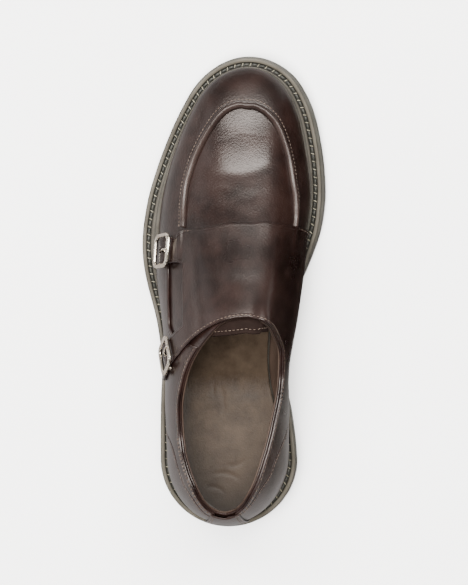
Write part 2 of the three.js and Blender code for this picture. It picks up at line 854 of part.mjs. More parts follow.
// One leather: the panel's cells, and the cells of both straps joined on at its cut edge
function strapPanel() {
  const outer = [];
  const inner = [];
  const places = new Map();
  const faces = [];
  const place = (key, { u, v, lift }) => {
    if (!places.has(key)) {
      places.set(key, outer.length);
      outer.push(across(u, v, overlay + lift + panelThick));
      inner.push(across(u, v, overlay + lift));
    }
    return places.get(key);
  };
  const shares = [
    ...slotShares.map((share) => share * rearStrapEnd),
    ...evenly(rearStrapEnd, frontStrapStart, 3).slice(1, -1),
    ...slotShares.map((share) => THREE.MathUtils.lerp(frontStrapStart, 1, share)),
  ];
  const rows = [...evenly(0, 13, 26), ...evenly(13, panelRows, panelRows - 13).slice(1)];
  const panelCorner = (row, column) => place(`panel ${row} ${column}`, panelPlace(row, shares[column]));
  for (let index = 0; index < rows.length - 1; index += 1) {
    for (let column = 0; column < shares.length - 1; column += 1) {
      faces.push([panelCorner(rows[index], column), panelCorner(rows[index], column + 1),
        panelCorner(rows[index + 1], column + 1), panelCorner(rows[index + 1], column)]);
    }
  }
  const firstColumns = new Map([[rearStrap, 0], [frontStrap, shares.length - slotShares.length]]);
  for (const [strap, first] of firstColumns) {
    const corner = (row, column) => (row === 0 ? panelCorner(0, first + column)
      : place(`${first} ${row} ${column}`, strapPlace(strap, row, slotShares[column])));
    [0, ...strapRows.slice(0, -1)].forEach((row, index) => {
      const next = strapRows[index];
      for (let column = 0; column < slotShares.length - 1; column += 1) {
        const slot = column === 1 && row >= slotRows[0] && next <= slotRows[1];
        if (!slot) {
          faces.push([corner(row, column), corner(next, column), corner(next, column + 1),
            corner(row, column + 1)]);
        }
      }
    });
  }
  return plate(faces, outer, inner);
}

// Lateral quarter: its upper edge from the front, under both straps, to the collar and the heel
const quarterEdge = table(["row", "topU", "topV", "footU"], [
  [0, 0.512, -0.605, 0.531],
  [1, 0.495, -0.570, 0.500],
  [2, 0.455, -0.586, 0.455],
  [3, 0.425, -0.606, 0.425],
  [4, 0.400, -0.612, 0.398],
  [5, 0.386, -0.560, 0.382],
  [6, 0.373, -0.460, 0.368],
]);
const quarterCorner = quarterEdge.lastKey;
const quarterBack = [0.357, 0.335, 0.312, 0.29, 0.268, lateralSeamFoot, ...lateralSeamRows];

function quarterPlace(row, share) {
  let top;
  let foot;
  if (row <= quarterCorner) {
    top = { u: quarterEdge.topU(row), v: quarterEdge.topV(row) };
    foot = { u: quarterEdge.footU(row), v: hem - 1 };
  } else {
    const u = quarterBack[row - quarterCorner - 1];
    top = { u, v: collarAt(LATERAL, u) - 1 };
    foot = { u, v: u >= lateralSeamFoot ? hem - 1 : seamAt(LATERAL, u, 1) - 1 };
  }
  return {
    u: THREE.MathUtils.lerp(top.u, foot.u, share),
    v: THREE.MathUtils.lerp(top.v, foot.v, share),
  };
}

function outerQuarter() {
  const rows = quarterCorner + quarterBack.length;
  const shares = [0, 0.22, 0.43, 0.61, 0.76, 0.89, 1];
  return gridPlate(rows, shares.length - 1, (row, column) => {
    const { u, v } = quarterPlace(row, shares[column]);
    return { outer: across(u, v, overlay + quarterThick), inner: across(u, v, overlay) };
  });
}

// Counter round the heel, from the lateral foot of its seam to the medial one
function counter() {
  const turns = [
    ...[lateralSeamFoot - seamFootGap, ...lateralSeamRows].map((u) => -u),
    0,
    ...[...medialSeamRows].reverse(),
    medialSeamFoot - seamFootGap,
  ];
  const shares = evenly(0, 1, 5);
  return gridPlate(turns.length - 1, shares.length - 1, (row, column) => {
    const side = turns[row] < 0 ? LATERAL : MEDIAL;
    const u = Math.abs(turns[row]);
    const top = Math.max(hem * 1.5, seamAt(side, u, -1));
    const t = THREE.MathUtils.lerp(hem, top, shares[column]);
    return { outer: skinPoint(side, u, t, overlay + counterThick), inner: skinPoint(side, u, t, overlay) };
  });
}

// Backstay over the ends of the quarters and the middle of the counter, wider at its foot; both half
// widths are shares of the way round the edge
const backstayFoot = 0.044;
const backstayTop = 0.031;

function backstay() {
  const rows = 6;
  const columns = 7;
  const lift = overlay * 2 + Math.max(counterThick, panelThick, quarterThick);
  return gridPlate(rows, columns, (row, column) => {
    const share = column / columns;
    const turn = THREE.MathUtils.lerp(backstayFoot, backstayTop, share) * (2 * row / rows - 1);
    const side = turn < 0 ? LATERAL : MEDIAL;
    const u = Math.abs(turn);
    const t = THREE.MathUtils.lerp(hem, collarAt(side, u), share);
    return {
      outer: skinPoint(side, u, t, lift + backstayThick),
      inner: skinPoint(side, u, t, lift),
    };
  });
}

// Buckle over a strap: x runs to the strap's tip, y along the bars and z off the shoe
const wireRadius = 1;
const buckleDepth = 18.6;
const buckleWidth = 21.6;
const buckleCorner = 4;
const rollerWidth = 3.6;
const rollerHeight = 2.3;
const barRadius = 0.8;
const prongRadius = 0.65;
// The prong starts this far beyond the centre bar, rises, and ends past the roller a little lower
const prongStart = 1.1;
const prongRise = 0.45;
const prongBend = 3.6;
const prongTip = 1.8;
const prongDrop = 0.3;
const barHeight = overlay + quarterThick + gap + barRadius;
const frameHeight = overlay + quarterStep + panelThick + gap + wireRadius;

function buckleMatrix(strap) {
  const spot = (row, share) => {
    const { u, v } = strapPlace(strap, row, share);
    return across(u, v, 0);
  };
  const { u, v } = strapPlace(strap, barRow, 0.5);
  const normal = lastNormal(LATERAL, u, 1 + v);
  const tipWards = spot(barRow + 1, 0.5).sub(spot(barRow - 1, 0.5));
  const bars = normal.clone().cross(tipWards).normalize();
  const run = bars.clone().cross(normal);
  return new THREE.Matrix4().makeBasis(run, bars, normal).setPosition(spot(barRow, 0.5));
}

function buckle(strap) {
  const points = [];
  const halfDepth = buckleDepth / 2 - wireRadius;
  const halfWidth = buckleWidth / 2 - wireRadius;
  const sides = 7;
  const turns = 16;
  for (let turn = 0; turn < turns; turn += 1) {
    const corner = Math.floor(turn / 4);
    const angle = quarterTurn * (corner + (turn % 4) / 3);
    const towards = new THREE.Vector3(Math.cos(angle), Math.sin(angle), 0);
    const signX = corner === 0 || corner === 3 ? 1 : -1;
    const signY = corner < 2 ? 1 : -1;
    const middle = new THREE.Vector3(signX * (halfDepth - buckleCorner), signY * (halfWidth - buckleCorner),
      frameHeight).addScaledVector(towards, buckleCorner);
    for (let side = 0; side < sides; side += 1) {
      const roll = 2 * Math.PI * side / sides;
      const reach = towards.clone().multiplyScalar(Math.cos(roll)).setZ(Math.sin(roll));
      points.push(middle.clone().addScaledVector(reach, wireRadius));
    }
  }
  const ringSolid = solid(solidGeometry(points, wallFaces(turns, sides, true)));
  const roller = new THREE.CylinderGeometry(1, 1, buckleWidth - 2 * wireRadius - buckleCorner, 10);
  roller.scale(rollerWidth / 2, 1, rollerHeight / 2);
  roller.translate(-halfDepth, 0, frameHeight);
  const bar = new THREE.CylinderGeometry(barRadius, barRadius, 2 * halfWidth, 8);
  bar.translate(0, 0, barHeight);
  let whole = ringSolid.add(solid(roller)).add(solid(bar));
  for (const end of [-1, 1]) {
    const lug = new THREE.CylinderGeometry(wireRadius, wireRadius, frameHeight - barHeight + barRadius, 8);
    lug.rotateX(quarterTurn);
    lug.translate(0, end * halfWidth, (frameHeight + barHeight - barRadius) / 2);
    whole = whole.add(solid(lug));
  }
  return geometryOf(whole).applyMatrix4(buckleMatrix(strap));
}

// Prong from the centre bar, up through the strap's slot, to its rest on the roller
function prong(strap) {
  const start = barHeight + barRadius + gap + prongRadius;
  const rest = frameHeight + rollerHeight / 2 + gap + prongRadius;
  const halfDepth = buckleDepth / 2 - wireRadius;
  const path = new THREE.CatmullRomCurve3([
    new THREE.Vector3(prongStart, 0, start),
    new THREE.Vector3(-barRadius * 1.25, 0, start + prongRise),
    new THREE.Vector3(-prongBend, 0, rest - prongDrop),
    new THREE.Vector3(-halfDepth, 0, rest),
    new THREE.Vector3(-halfDepth - prongTip, 0, rest - prongDrop),
  ]);
  const section = new THREE.Shape();
  section.absarc(0, 0, prongRadius, 0, 2 * Math.PI);
  const rod = new THREE.ExtrudeGeometry(section, { extrudePath: path, steps: 10, curveSegments: 3 });
  return geometryOf(solid(rod)).applyMatrix4(buckleMatrix(strap));
}

// The shoe: every part is its own mesh with its own material
const shoe = new THREE.Group();

function add(name, geometry, color, roughness, metalness = 0) {
  const material = new THREE.MeshStandardMaterial({ color, roughness, metalness });
  const mesh = new THREE.Mesh(geometry, material);
  mesh.name = name;
  shoe.add(mesh);
}

add("outsole", outsole(), 0x2b2a28, 0.8);
add("heel", heel(), 0x2b2a28, 0.8);
add("midsole", midsole(), 0x4a4843, 0.75);
add("welt", welt(), 0x8b887e, 0.7);
add("insole", insole(), 0x6b5a4e, 0.85);
add("upper", upper(), 0x3a2a26, 0.4);
add("tongue", tongue(), 0x4a3b35, 0.6);
add("apron_seam", apronSeam(), 0x453430, 0.35);
add("outer_quarter", outerQuarter(), 0x3a2a26, 0.4);
add("strap_panel", strapPanel(), 0x3d2c28, 0.4);
add("counter", counter(), 0x3a2a26, 0.4);
add("backstay", backstay(), 0x3a2a26, 0.4);
add("buckle_front", buckle(frontStrap), 0xc9c2b6, 0.25, 1);
add("buckle_rear", buckle(rearStrap), 0xc9c2b6, 0.25, 1);
add("prong_front", prong(frontStrap), 0xc9c2b6, 0.25, 1);
add("prong_rear", prong(rearStrap), 0xc9c2b6, 0.25, 1);

// The origin is under the middle of the shoe's outline, on the floor
const box = new THREE.Box3().setFromObject(shoe);
shoe.position.set(-(box.min.x + box.max.x) / 2, -(box.min.y + box.max.y) / 2, -box.min.z);
shoe.updateMatrixWorld(true);

export default shoe;
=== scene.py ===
import math
import bpy
import bmesh
import numpy as np
from mathutils import Matrix, Vector


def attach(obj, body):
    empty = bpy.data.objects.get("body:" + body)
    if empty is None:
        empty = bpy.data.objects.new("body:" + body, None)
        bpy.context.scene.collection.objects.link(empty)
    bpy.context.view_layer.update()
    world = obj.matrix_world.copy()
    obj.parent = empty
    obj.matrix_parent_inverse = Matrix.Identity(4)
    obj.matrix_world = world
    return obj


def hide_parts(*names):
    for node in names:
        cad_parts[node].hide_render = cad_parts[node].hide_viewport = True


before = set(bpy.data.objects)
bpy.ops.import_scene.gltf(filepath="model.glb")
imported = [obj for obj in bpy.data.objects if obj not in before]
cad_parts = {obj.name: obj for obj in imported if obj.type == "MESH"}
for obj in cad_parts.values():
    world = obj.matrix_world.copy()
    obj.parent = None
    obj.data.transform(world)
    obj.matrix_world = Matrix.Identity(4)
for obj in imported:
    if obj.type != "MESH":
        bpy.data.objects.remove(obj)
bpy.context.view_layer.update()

# Insole. The leather sock that the foot stands on, glued over the cork and the inner sole. It is
# cut to the inside of the upper, so its outline starts the shape of the whole bottom. Lengths are
# in millimetres until a mesh is made, with the back of the outsole at y = 0 and the floor at z = 0.
SHOE_LENGTH = 302.4
BALL_WIDTH = 118.7
HEEL_WIDTH = 87.8
TOE_CAP = 95
HEEL_RISE = 18.3
SHANK = (78, 150)
TOE_SPRING = 12
TOE_SPRING_START = 205
OUTLINE_MIDDLE = np.array([2.5656, 151.2, 0.0])
WELT_REACH = 12.5
GAP = 0.3
WELT_BASE = 11.8
SOCK_THICK = 3
UPPER_WALL = 2.2
LATERAL = -1
MEDIAL = 1

QUARTER_TURN = math.pi / 2
HEEL_ARC = QUARTER_TURN * HEEL_WIDTH / 2
TOE_ARC = QUARTER_TURN * TOE_CAP
TOE_START = SHOE_LENGTH - TOE_CAP
EDGE_RUN = HEEL_ARC + TOE_START - HEEL_WIDTH / 2 + TOE_ARC
HEEL_SHARE = HEEL_ARC / EDGE_RUN
TOE_SHARE = 1 - TOE_ARC / EDGE_RUN


def smooth_table(rows):
    """Smooth curves of the first column, one for each other column."""
    rows = np.array(rows, float)
    keys = rows[:, 0]
    last = len(keys) - 1

    def curve(values):
        before = np.maximum(np.arange(last + 1) - 1, 0)
        after = np.minimum(np.arange(last + 1) + 1, last)
        slope = (values[after] - values[before]) / (keys[after] - keys[before])

        def read(key):
            place = np.clip(key, keys[0], keys[-1])
            row = np.clip(np.searchsorted(keys, place) - 1, 0, last - 1)
            span = keys[row + 1] - keys[row]
            s = (place - keys[row]) / span
            rise = values[row + 1] - values[row]
            start = slope[row] * span - rise
            end = rise - slope[row + 1] * span
            return values[row] + s * rise + s * (1 - s) * ((1 - s) * start + s * end)
        return read
    return [curve(column) for column in rows.T[1:]]


def smooth_step(start, end, value):
    s = np.clip((value - start) / (end - start), 0, 1)
    return s * s * (3 - 2 * s)


sole_lateral, sole_medial, sole_centre = smooth_table([
    [0.000, 0.500, 0.500, 0.000],
    [0.145, 0.500, 0.501, 0.000],
    [0.245, 0.499, 0.462, 0.000],
    [0.311, 0.491, 0.410, 0.000],
    [0.367, 0.474, 0.367, 0.003],
    [0.445, 0.457, 0.338, 0.007],
    [0.513, 0.469, 0.378, 0.011],
    [0.579, 0.495, 0.439, 0.017],
    [0.630, 0.497, 0.478, 0.021],
    [0.685, 0.478, 0.498, 0.023],
    [0.764, 0.452, 0.494, 0.039],
    [0.830, 0.435, 0.497, 0.052],
    [0.896, 0.433, 0.512, 0.068],
    [0.929, 0.446, 0.521, 0.078],
    [0.966, 0.469, 0.529, 0.094],
    [1.000, 0.480, 0.522, 0.105],
])
lateral_reach, medial_reach = smooth_table([
    [0.00, 0.61, 0.61],
    [0.10, 0.74, 0.76],
    [0.30, 0.66, 0.60],
    [0.42, 0.68, 0.58],
    [0.52, 0.84, 0.66],
    [0.60, 0.98, 0.84],
    [0.68, 0.90, 0.88],
    [0.78, 0.76, 0.98],
    [0.88, 0.72, 1.00],
    [0.96, 0.74, 0.92],
    [1.00, 0.80, 0.80],
])


def station(u):
    """Place along the shoe for a share u round the sole edge, and how far its ends have closed."""
    heel = QUARTER_TURN * u / HEEL_SHARE
    toe = QUARTER_TURN * (u - TOE_SHARE) / (1 - TOE_SHARE)
    share = (u - HEEL_SHARE) / (TOE_SHARE - HEEL_SHARE)
    y = HEEL_WIDTH / 2 + share * (TOE_START - HEEL_WIDTH / 2)
    y = np.where(u < HEEL_SHARE, HEEL_WIDTH / 2 * (1 - np.cos(heel)), y)
    y = np.where(u > TOE_SHARE, TOE_START + TOE_CAP * np.sin(toe), y)
    cap = np.where(u < HEEL_SHARE, np.sin(heel), np.where(u > TOE_SHARE, np.cos(toe), 1.0))
    return y, cap


def by_side(side, lateral, medial, key):
    return np.where(side < 0, lateral(key), medial(key))


def sole_edge(side, u):
    y, cap = station(u)
    along = y / SHOE_LENGTH
    width = HEEL_WIDTH + (BALL_WIDTH - HEEL_WIDTH) * smooth_step(0.3, 0.55, along)
    half = width * by_side(side, sole_lateral, sole_medial, along)
    return np.stack([BALL_WIDTH * sole_centre(along) + side * half * cap, y], -1)


def edge_normal(side, u):
    run = sole_edge(side, u + 1e-3) - sole_edge(side, u - 1e-3)
    out = np.stack([side * run[..., 1], -side * run[..., 0]], -1)
    return out / np.linalg.norm(out, axis=-1, keepdims=True)


def edge_inset(side, u, inset):
    return sole_edge(side, u) - edge_normal(side, u) * np.asarray(inset)[..., None]


def reach_at(side, u):
    return WELT_REACH * by_side(side, lateral_reach, medial_reach, station(u)[0] / SHOE_LENGTH)


def sole_bottom(y):
    spring = np.maximum(0, (y - TOE_SPRING_START) / (SHOE_LENGTH - TOE_SPRING_START))
    return HEEL_RISE * (1 - smooth_step(*SHANK, y)) + TOE_SPRING * spring * spring


def grid_faces(rows, columns, around=False):
    """Quads of a grid of places in rows; around joins the last row to the first."""
    row = np.arange(rows if around else rows - 1)[:, None]
    column = np.arange(columns - 1)[None, :]
    low = row * columns + column
    high = ((row + 1) % rows) * columns + column
    return np.stack([low, low + 1, high + 1, high], -1).reshape(-1, 4)


def make_piece(name, points, faces, slot, replaced=(), marks=None):
    """A smooth mesh from points in millimetres, riding on the shoe's one body."""
    mesh = bpy.data.meshes.new(name)
    mesh.from_pydata(((np.asarray(points) - OUTLINE_MIDDLE) * 0.001).tolist(), [], list(map(list, faces)))
    for mark, values in (marks or {}).items():
        kept = mesh.attributes.new(mark, "FLOAT", "POINT")
        kept.data.foreach_set("value", np.asarray(values, np.float32))
    shape = bmesh.new()
    shape.from_mesh(mesh)
    bmesh.ops.remove_doubles(shape, verts=shape.verts, dist=2e-6)
    bmesh.ops.dissolve_degenerate(shape, edges=shape.edges, dist=1e-7)
    bmesh.ops.recalc_face_normals(shape, faces=shape.faces)
    shape.to_mesh(mesh)
    shape.free()
    mesh.polygons.foreach_set("use_smooth", [True] * len(mesh.polygons))
    piece = bpy.data.objects.new(name, mesh)
    bpy.context.scene.collection.objects.link(piece)
    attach(piece, "root")
    if replaced:
        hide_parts(*replaced)
    return piece


class Shade:
    """A socket of a material's nodes; arithmetic on it adds the nodes for that arithmetic."""

    def __init__(self, tree, socket=None):
        self.tree = tree
        self.socket = socket

    def node(self, kind, settings=None, inputs=None, output=0):
        made = self.tree.nodes.new(kind)
        for name, value in (settings or {}).items():
            setattr(made, name, value)
        for name, value in (inputs or {}).items():
            if isinstance(value, Shade):
                self.tree.links.new(value.socket, made.inputs[name])
            else:
                made.inputs[name].default_value = value
        return Shade(self.tree, made.outputs[output])

    def maths(self, operation, *values):
        return self.node("ShaderNodeMath", {"operation": operation}, dict(enumerate(values)))

    def __add__(self, other):
        return self.maths("ADD", self, other)

    def __rsub__(self, other):
        return self.maths("SUBTRACT", other, self)

    def __sub__(self, other):
        return self.maths("SUBTRACT", self, other)

    def __mul__(self, other):
        return self.maths("MULTIPLY", self, other)

    __radd__ = __add__
    __rmul__ = __mul__

    def between(self, low, high):
        """0 where the value is under low, 1 where it is over high, smooth between."""
        return self.node("ShaderNodeMapRange", {"interpolation_type": "SMOOTHSTEP"},
                         {"Value": self, "From Min": low, "From Max": high})

    def mixed(self, first, second):
        """Two colours mixed by this value."""
        return self.node("ShaderNodeMix", {"data_type": "RGBA"}, {0: self, 6: first, 7: second}, output=2)


def new_material(name, **constants):
    """A material with its shader's constant sockets set, and the start of its nodes."""
    material = bpy.data.materials.new(name)
    material.use_nodes = True
    shader = material.node_tree.nodes["Principled BSDF"]
    for socket, value in constants.items():
        shader.inputs[socket.replace("_", " ")].default_value = value
    return material, shader, Shade(material.node_tree)


def feed(shader, start, **sockets):
    for socket, value in sockets.items():
        start.tree.links.new(value.socket, shader.inputs[socket.replace("_", " ")])


def noise(start, place, scale, detail=3, roughness=0.5):
    return start.node("ShaderNodeTexNoise", {}, {"Vector": place, "Scale": scale, "Detail": detail,
                                                 "Roughness": roughness})


def relief(start, strength, depth, height, **under):
    """Small relief that only the shading shows, depth in metres."""
    return start.node("ShaderNodeBump", {}, {"Strength": strength, "Distance": depth,
                                             "Height": height, **under})


sock_us = 0.5 - 0.5 * np.cos(np.linspace(0.03, math.pi - 0.03, 260))
left, right = (edge_inset(side, sock_us, reach_at(side, sock_us) + UPPER_WALL + GAP)
               for side in (np.full_like(sock_us, LATERAL), np.full_like(sock_us, MEDIAL)))
SOCK_COLUMNS = 81
SOCK_SHOWN = 1.2
DISH = 1.1
shares = np.linspace(0, 1, SOCK_COLUMNS)
plan = left[:, None] * (1 - shares)[None, :, None] + right[:, None] * shares[None, :, None]
rim = 4 * shares * (1 - shares)
dish = -DISH * smooth_step(0, 0.5, rim)[None, :] * np.ones((len(sock_us), 1))


def worn_lines(x, y, lines):
    """Depth of soft folds over a surface: each line bows and fades out towards its ends."""
    height = np.zeros(np.shape(x))
    for start_x, start_y, end_x, end_y, bow, width, depth in lines:
        run_x, run_y = end_x - start_x, end_y - start_y
        length = math.hypot(run_x, run_y)
        share = ((x - start_x) * run_x + (y - start_y) * run_y) / length ** 2
        beside = ((y - start_y) * run_x - (x - start_x) * run_y) / length - bow * 4 * share * (1 - share)
        fade = smooth_step(-0.1, 0.3, share) * (1 - smooth_step(0.7, 1.1, share))
        height += depth * fade * np.exp(-(beside / width) ** 2)
    return height


SOCK_CREASES = [
    # start x and y, end x and y, bow, width, depth: worn lines under the heel and the arch
    (-6, 92, -4, 72, 2.0, 1.3, -0.35),
    (-8, 96, -9, 84, -1.0, 1.0, -0.22),
    (-10, 34, 8, 30, 2.5, 1.2, -0.30),
    (-2, 40, 12, 44, -2.0, 1.2, -0.22),
    (-14, 26, -2, 22, 1.5, 1.3, -0.2),
    (-14, 120, 16, 122, 2.0, 2.2, -0.3),
]
sock_z = sole_bottom(plan[..., 1]) + WELT_BASE + SOCK_THICK + dish
sock_z += worn_lines(plan[..., 0], plan[..., 1], SOCK_CREASES)
top = np.concatenate([plan, sock_z[..., None]], -1).reshape(-1, 3)
low = top.copy()
low[:, 2] -= SOCK_SHOWN
count = len(top)
faces = grid_faces(len(sock_us), SOCK_COLUMNS)
faces = np.concatenate([faces, faces[:, ::-1] + count])
ring = [*range(SOCK_COLUMNS), *range(2 * SOCK_COLUMNS - 1, count, SOCK_COLUMNS),
        *range(count - 2, count - SOCK_COLUMNS - 1, -1), *range(count - 2 * SOCK_COLUMNS, 0, -SOCK_COLUMNS)]
faces = [*faces.tolist(), *[[a, b, b + count, a + count] for a, b in zip(ring, ring[1:] + ring[:1])]]
sock = make_piece("sock", np.concatenate([top, low]), faces, "sock_leather", ["insole"])

material, shader, start = new_material("sock leather")
place = start.node("ShaderNodeTexCoord", output=3)
cloud = noise(start, place, 26, 6, 0.6)
fine = noise(start, place, 900, 2)
scuffs = noise(start, place, 130, 5, 0.65)
along = start.node("ShaderNodeSeparateXYZ", {}, {"Vector": place}, output=1)
# painted shade: the sock's colour is made darker towards its heel end, over its own cloudy tone and scuffs
clear_of_heel_shade = along.between(-0.145, -0.065)
lightness = (cloud * 0.6 + scuffs * 0.4).between(0.28, 0.72) * (clear_of_heel_shade * 0.6 + 0.4)
colour = lightness.mixed((0.012, 0.0077, 0.005, 1), (0.036, 0.0255, 0.0175, 1))
bump = relief(start, 0.3, 0.0004, fine * 0.6 + scuffs)
feed(shader, start, Base_Color=colour, Roughness=lightness * 0.15 + 0.5, Normal=bump)
sock.data.materials.append(material)

# Upper. The vamp that wraps the last, of polished dark brown calf about 1.2 mm thick, lasted under
# and stitched to the welt. Its wall is drawn with the lining as one thickness.
WELT_TOP = 15.5
BEAD_RISE = 1.5
INSTEP_RISE = 84.4
RIDGE_SHARE = 0.75
FEATHER_RISE = WELT_TOP + BEAD_RISE + GAP
THROAT_U = 0.408
PANEL_FRONT_U = 0.585
APRON_RECESS = 0.7
VAMP_SHARE = 0.55

ridge_across, ridge_rise = smooth_table([
    [0.000, 0.000, 0.850],
    [0.140, 0.008, 0.910],
    [0.260, 0.050, 0.930],
    [0.364, 0.095, 0.975],
    [0.450, 0.128, 1.000],
    [0.530, 0.138, 0.885],
    [0.645, 0.142, 0.690],
    [0.720, 0.132, 0.583],
    [0.794, 0.118, 0.472],
    [0.893, 0.105, 0.345],
    [0.960, 0.100, 0.250],
    [1.000, 0.100, 0.180],
])
lateral_push, medial_push, low_belly, lateral_crown, medial_crown = smooth_table([
    [0.00, 0.40, 0.40, 0.22, 1.00, 1.00],
    [0.05, 0.56, 0.56, 0.21, 0.78, 0.76],
    [0.12, 0.72, 0.76, 0.20, 0.60, 0.54],
    [0.20, 0.82, 1.05, 0.21, 0.57, 0.55],
    [0.26, 0.92, 1.40, 0.22, 0.60, 0.64],
    [0.36, 0.95, 2.20, 0.25, 0.68, 0.80],
    [0.45, 0.75, 2.60, 0.28, 0.68, 0.76],
    [0.53, 0.55, 1.60, 0.32, 0.66, 0.73],
    [0.62, 0.45, 0.60, 0.36, 0.66, 0.74],
    [0.72, 0.42, 0.55, 0.38, 0.66, 0.76],
    [0.85, 0.40, 0.50, 0.50, 0.74, 0.80],
    [0.94, 0.38, 0.42, 0.62, 0.86, 0.88],
    [1.00, 0.36, 0.36, 0.72, 0.94, 0.94],
])
collar_lateral, collar_medial = smooth_table([
    [0.000, 0.575, 0.575],
    [0.040, 0.600, 0.615],
    [0.070, 0.620, 0.645],
    [0.105, 0.615, 0.640],
    [0.150, 0.565, 0.605],
    [0.187, 0.515, 0.570],
    [0.216, 0.490, 0.540],
    [0.263, 0.490, 0.500],
    [0.307, 0.545, 0.462],
    [0.332, 0.600, 0.475],
    [0.355, 0.675, 0.510],
    [0.372, 0.740, 0.580],
    [0.385, 0.790, 0.640],
    [0.395, 0.835, 0.690],
    [0.402, 0.895, 0.770],
    [0.408, 1.000, 1.000],
])
apron_lateral, apron_medial = smooth_table([
    [0.000, 0.620, 0.620],
    [0.450, 0.560, 0.560],
    [0.585, 0.550, 0.545],
    [0.608, 0.538, 0.560],
    [0.632, 0.530, 0.574],
    [0.656, 0.528, 0.590],
    [0.680, 0.540, 0.599],
    [0.706, 0.556, 0.609],
    [0.734, 0.586, 0.630],
    [0.766, 0.627, 0.660],
    [0.803, 0.680, 0.702],
    [0.840, 0.730, 0.755],
    [0.900, 0.808, 0.822],
    [0.965, 0.870, 0.872],
    [1.000, 0.880, 0.880],
])


def bezier(a, b, c, d, t):
    s = 1 - t
    return a * s * s * s + 3 * b * s * s * t + 3 * c * s * t * t + d * t * t * t


def last_point(side, u, t):
    """A point of the upper's face: t runs from the welt, 0, to the ridge of the last, 1."""
    side, u, t = np.broadcast_arrays(np.asarray(side, float), np.asarray(u, float), np.asarray(t, float))
    foot = edge_inset(side, u, reach_at(side, u))
    along = station(u)[0] / SHOE_LENGTH
    facing = edge_inset(-side, u, reach_at(-side, u))
    ridge_y = SHOE_LENGTH / 2 + ((foot + facing)[..., 1] - SHOE_LENGTH) * RIDGE_SHARE / 2
    top = np.stack([BALL_WIDTH * ridge_across(ridge_y / SHOE_LENGTH), ridge_y], -1)
    push = WELT_REACH * by_side(side, lateral_push, medial_push, along)
    crown = by_side(side, lateral_crown, medial_crown, along)
    low = foot + edge_normal(side, u) * push[..., None]
    high = top + (foot - top) * crown[..., None]
    plan = bezier(foot, low, high, top, np.maximum(t, 0)[..., None])
    base = sole_bottom(plan[..., 1]) + FEATHER_RISE
    lift = bezier(0.0, low_belly(along), 1.0, 1.0, np.maximum(t, 0))
    rise = INSTEP_RISE * ridge_rise(plan[..., 1] / SHOE_LENGTH)
    z = base + rise * lift
    spread = np.maximum(crown * np.abs(foot[..., 0] - top[..., 0]), 8)
    far_crown = by_side(-side, lateral_crown, medial_crown, along)
    far_spread = np.maximum(far_crown * np.abs(facing[..., 0] - top[..., 0]), 8)
    sharper = np.maximum(1 / spread ** 2 - 1 / far_spread ** 2, 0) * (1 - smooth_step(0.68, 0.82, u))
    beside = np.abs(plan[..., 0] - top[..., 0])
    near_ridge = (1 - smooth_step(0, 25, beside)) * smooth_step(0.45, 0.85, t)
    z = z + (1 - low_belly(along)) * rise / 3 * sharper * beside ** 2 * near_ridge
    z = np.where(t < 0, z + t * (FEATHER_RISE - WELT_BASE), z)
    return np.concatenate([plan, z[..., None]], -1)


def face_normal(side, u, t):
    along = last_point(side, u + 2e-3, t) - last_point(side, u - 2e-3, t)
    up = last_point(side, u, t + 0.01) - last_point(side, u, t - 0.01)
    out = np.cross(up, along) * -np.broadcast_to(side, along.shape[:-1])[..., None]
    return out / np.linalg.norm(out, axis=-1, keepdims=True)


def last_normal(side, u, t):
    """Outward direction; both sides share one on the ridge."""
    side, u, t = np.broadcast_arrays(np.asarray(side, float), np.asarray(u, float), np.asarray(t, float))
    crest = face_normal(-np.ones_like(u), u, np.full_like(u, 0.985))
    crest = crest + face_normal(np.ones_like(u), u, np.full_like(u, 0.985))
    crest /= np.linalg.norm(crest, axis=-1, keepdims=True)
    share = smooth_step(0.93, 0.99, t)[..., None]
    out = face_normal(side, u, np.minimum(t, 0.985)) * (1 - share) + crest * share
    return out / np.linalg.norm(out, axis=-1, keepdims=True)


def skin_point(side, u, t, height):
    return last_point(side, u, t) + last_normal(side, u, t) * np.asarray(height)[..., None]


def side_of(v):
    return np.where(np.asarray(v) < 0, -1.0, 1.0)


def across(u, v, height):
    """v runs over the upper from the lateral welt, -1, to the medial welt, 1."""
    v = np.asarray(v, float)
    return skin_point(side_of(v), u, 1 - np.abs(v), height)


def share_of_millimetre(side, u, t):
    run = last_point(side, u, t + 0.01) - last_point(side, u, t - 0.01)
    return 0.02 / np.linalg.norm(run, axis=-1)


def collar_at(side, u):
    return np.where(u >= THROAT_U, 1.0, by_side(side, collar_lateral, collar_medial, u))


def apron_at(side, u):
    return by_side(side, apron_lateral, apron_medial, u) * collar_at(side, u)


def upper_rows(side, u):
    """Shares t and depths of the rows from the welt to the ridge or the collar, at one station."""
    seam = apron_at(side, u)
    edge = collar_at(side, u)
    step = 0.8 * share_of_millimetre(side, u, seam)
    low = np.linspace(0, 1, 34)[None, :] * (seam - step)[:, None]
    high = (seam + step)[:, None] + np.linspace(0, 1, 30)[None, :] * (edge - seam - step)[:, None]
    sink = APRON_RECESS * smooth_step(PANEL_FRONT_U, PANEL_FRONT_U + 0.05, u)
    t = np.concatenate([np.full((len(u), 1), -1.0), low, high], 1)
    depth = np.concatenate([np.zeros((len(u), 35)), -np.ones((len(u), 30)) * sink[:, None]], 1)
    return t, depth


def shoe_grid(us, rows_at, height):
    """Both sides of the upper as one closed grid of stations, round the heel and the toe."""
    sides = np.concatenate([np.full(len(us), LATERAL), np.full(len(us) - 2, MEDIAL)])
    around = np.concatenate([us, us[1:-1][::-1]])
    t, depth = rows_at(sides, around)
    return skin_point(sides[:, None], around[:, None], t, depth + height), sides, around, t


